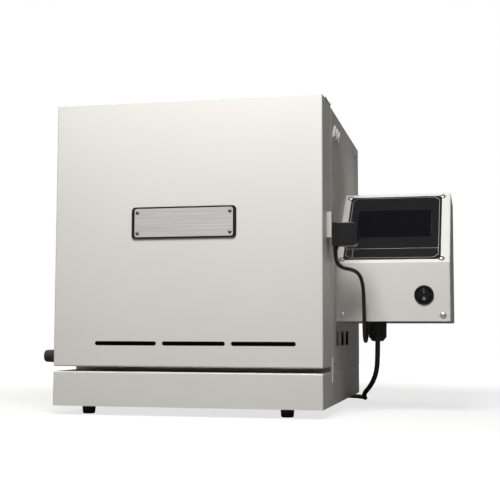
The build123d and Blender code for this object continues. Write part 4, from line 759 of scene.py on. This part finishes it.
# Electronics inside the box: display and controller boards under green lacquer, a solid-state
# relay on its finned aluminium sink, and a black terminal strip.
board_green = grained_finish(
    "board_green", [(0.008, 0.07, 0.03), (0.02, 0.15, 0.07)], [0.3],
    grit, Size=500.0, Depth=0.12,
)
dress(board_green, "display_module", "controller_board")
sink_metal = grained_finish(
    "sink_metal", [(0.62, 0.63, 0.64)], [0.3, 0.5],
    brushed, metallic=1.0, Stretch=(1800.0, 20.0, 1800.0), Depth=0.2,
)
dress(sink_metal, "heat_sink")
dress(moulded_black, "power_relay", "terminal_strip")

# Power rocker: a glossy black rocker in a round black housing, snapped into the box's front.
# Moulded white marks, a bar and a ring, show its two positions.
bar_low, bar_high = 0.0028, 0.0064
ring_rise = -0.0047
ring_radius = 0.0017
mark_width = 0.00045
mark_lift = 0.00008
rocker_lean = radians(18.0)
bezel_low, bezel_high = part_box("rocker_bezel")
rocker_middle = (bezel_low + bezel_high) / 2
rocker_face = Vector((rocker_middle.x, bezel_low.y, rocker_middle.z))
gloss_black = grained_finish(
    "gloss_black", [(0.009, 0.009, 0.0095)], [0.15, 0.28],
    coat_grain, Size=1500.0, Depth=0.03, Patch=50.0,
)
dress(gloss_black, "rocker_bezel", "rocker")


def on_rocker(lean):
    """Maps (across, up, height) to the rocker's lower face, or to its leaning upper face."""
    up = Vector((0.0, -sin(lean), cos(lean)))
    out = Vector((0.0, -cos(lean), -sin(lean)))
    return lambda u, s, height: (
        rocker_face + Vector((u, 0.0, 0.0)) + up * s + out * (height - mark_lift / 2)
    )


mark_white = grained_finish(
    "mark_white", [(0.62, 0.62, 0.60)], [0.42, 0.58],
    coat_grain, Size=2500.0, Patch=200.0,
)
ring_line = ribbon(circle_points((0.0, ring_rise), ring_radius), mark_width, True)
bar_line = ribbon([(0.0, bar_low), (0.0, bar_high)], mark_width, False)
ring_mark = slab("rocker_mark_o", ring_line, on_rocker(0.0), mark_lift, mark_white)
bar_mark = slab("rocker_mark_i", bar_line, on_rocker(rocker_lean), mark_lift, mark_white)
for mark in (ring_mark, bar_mark):
    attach(mark, "rocker")

# Cord gland and bush under the box: black nylon, the gland clamped by a hexagon nut inside and
# the small bush pushed in for the switch's cable.
dress(moulded_black, "cord_gland", "cord_gland_nut", "sensor_gland")

# Power cord: a black rubber-jacketed lead about 1.8 m long. It drops from the gland, passes the
# base's side and ends in a tied coil behind the kiln, with its moulded plug beside it.
cord_diameter = 0.007
cord_points = [
    (0.16025, -0.0223, 0.0955),
    (0.15975, -0.0203, 0.0735),
    (0.15725, -0.0063, 0.0555),
    (0.15025, 0.0197, 0.0395),
    (0.14025, 0.0537, 0.0270),
    (0.12825, 0.0977, 0.0160),
    (0.12325, 0.1477, 0.0075),
    (0.12125, 0.1827, 0.0037),
    (0.11725, 0.2077, 0.0036),
    (0.10525, 0.2267, 0.0036),
    (0.08625, 0.2377, 0.0036),
    (0.06125, 0.2417, 0.0036),
    (0.03125, 0.2367, 0.0036),
    (0.00325, 0.2294, 0.0036),
]
plug_end_points = [(-0.0115, 0.3182, 0.0105), (-0.0035, 0.3182, 0.0105)]
coil_box_low, coil_box_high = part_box("cord_coil")
coil_middle = (coil_box_low + coil_box_high) / 2
coil_turns = 5.5
coil_points_per_turn = 16
coil_outer_layer = 0.0455
coil_low, coil_high = 0.0036, 0.0105
rise_start = 2.55
inward_shifts = (0.75, 1.75)
outward_shifts = (3.35, 4.35)
shift_length = 0.2
# The curve cuts the corners between its points, so they stand a little outside the turns
spline_pull = 1.0195


def eased(turn, start):
    """Share of a shift that starts at one turn count and lasts a fifth of a turn."""
    share = min(1.0, max(0.0, (turn - start) / shift_length))
    return share * share * (3 - 2 * share)


for index in range(round(coil_turns * coil_points_per_turn) + 1):
    turn = index / coil_points_per_turn
    layer = sum(eased(turn, start) for start in inward_shifts)
    layer -= sum(eased(turn, start) for start in outward_shifts)
    radius = spline_pull * (coil_outer_layer - layer * cord_diameter)
    angle = -pi / 2 - 2 * pi * turn
    cord_points.append((
        coil_middle.x + radius * cos(angle),
        coil_middle.y + radius * sin(angle),
        coil_low + (coil_high - coil_low) * eased(turn, rise_start),
    ))
cord_points.extend(plug_end_points)


def smooth_cord(name, points, diameter, material):
    """Round cord on a NURBS line through the given control points."""
    data = bpy.data.curves.new(name, "CURVE")
    data.dimensions = "3D"
    data.bevel_depth = diameter / 2
    data.bevel_resolution = 5
    data.resolution_u = 6
    line = data.splines.new("NURBS")
    line.points.add(len(points) - 1)
    for point, spot in zip(line.points, points):
        point.co = (*spot, 1.0)
    line.order_u = 3
    line.use_endpoint_u = True
    data.materials.append(material)
    piece = bpy.data.objects.new(name, data)
    scene.collection.objects.link(piece)
    return piece


cord_jacket = grained_finish(
    "cord_jacket", [(0.011, 0.011, 0.0115), (0.026, 0.026, 0.026)], [0.42, 0.6],
    coat_grain, Size=900.0, Depth=0.1, Patch=45.0,
)
power_lead = smooth_cord("power_lead", cord_points, cord_diameter, cord_jacket)
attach(power_lead, "kiln")
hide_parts("power_cord", "cord_coil")
dress(cord_jacket, "plug_body")
pin_brass = grained_finish(
    "pin_brass", [(0.68, 0.58, 0.36)], [0.18, 0.36],
    brushed, metallic=1.0, Stretch=(30.0, 1500.0, 1500.0), Depth=0.15,
)
dress(pin_brass, "plug_pins")
strap_cloth = grained_finish(
    "strap_cloth", [(0.012, 0.012, 0.013), (0.04, 0.04, 0.042)], [0.9],
    yarns, Stretch=(5200.0, 5200.0, 5200.0), Depth=0.7,
)
dress(strap_cloth, "cord_tie")

# Switch cable: a thin limp cable with a black plastic jacket, which drops from the door switch,
# runs back towards the box and turns up into the bush under it.
cable_diameter = 0.005
cable_points = [
    (0.11875, -0.1553, 0.2150),
    (0.11895, -0.1547, 0.2040),
    (0.12100, -0.1493, 0.1950),
    (0.12720, -0.1383, 0.1905),
    (0.13620, -0.1223, 0.1900),
    (0.14420, -0.1083, 0.1855),
    (0.14780, -0.0993, 0.1735),
    (0.14860, -0.0943, 0.1575),
    (0.14870, -0.0920, 0.1335),
    (0.14875, -0.0913, 0.1090),
    (0.14875, -0.0844, 0.0985),
    (0.14875, -0.0733, 0.0949),
    (0.14875, -0.0622, 0.0985),
    (0.14875, -0.0553, 0.1080),
    (0.14875, -0.0553, 0.1185),
]
cable_jacket = grained_finish(
    "cable_jacket", [(0.013, 0.013, 0.0135)], [0.34, 0.52],
    coat_grain, Size=1200.0, Depth=0.08, Patch=60.0,
)
switch_cable = smooth_cord("switch_cable", cable_points, cable_diameter, cable_jacket)
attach(switch_cable, "kiln")
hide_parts("sensor_cable")
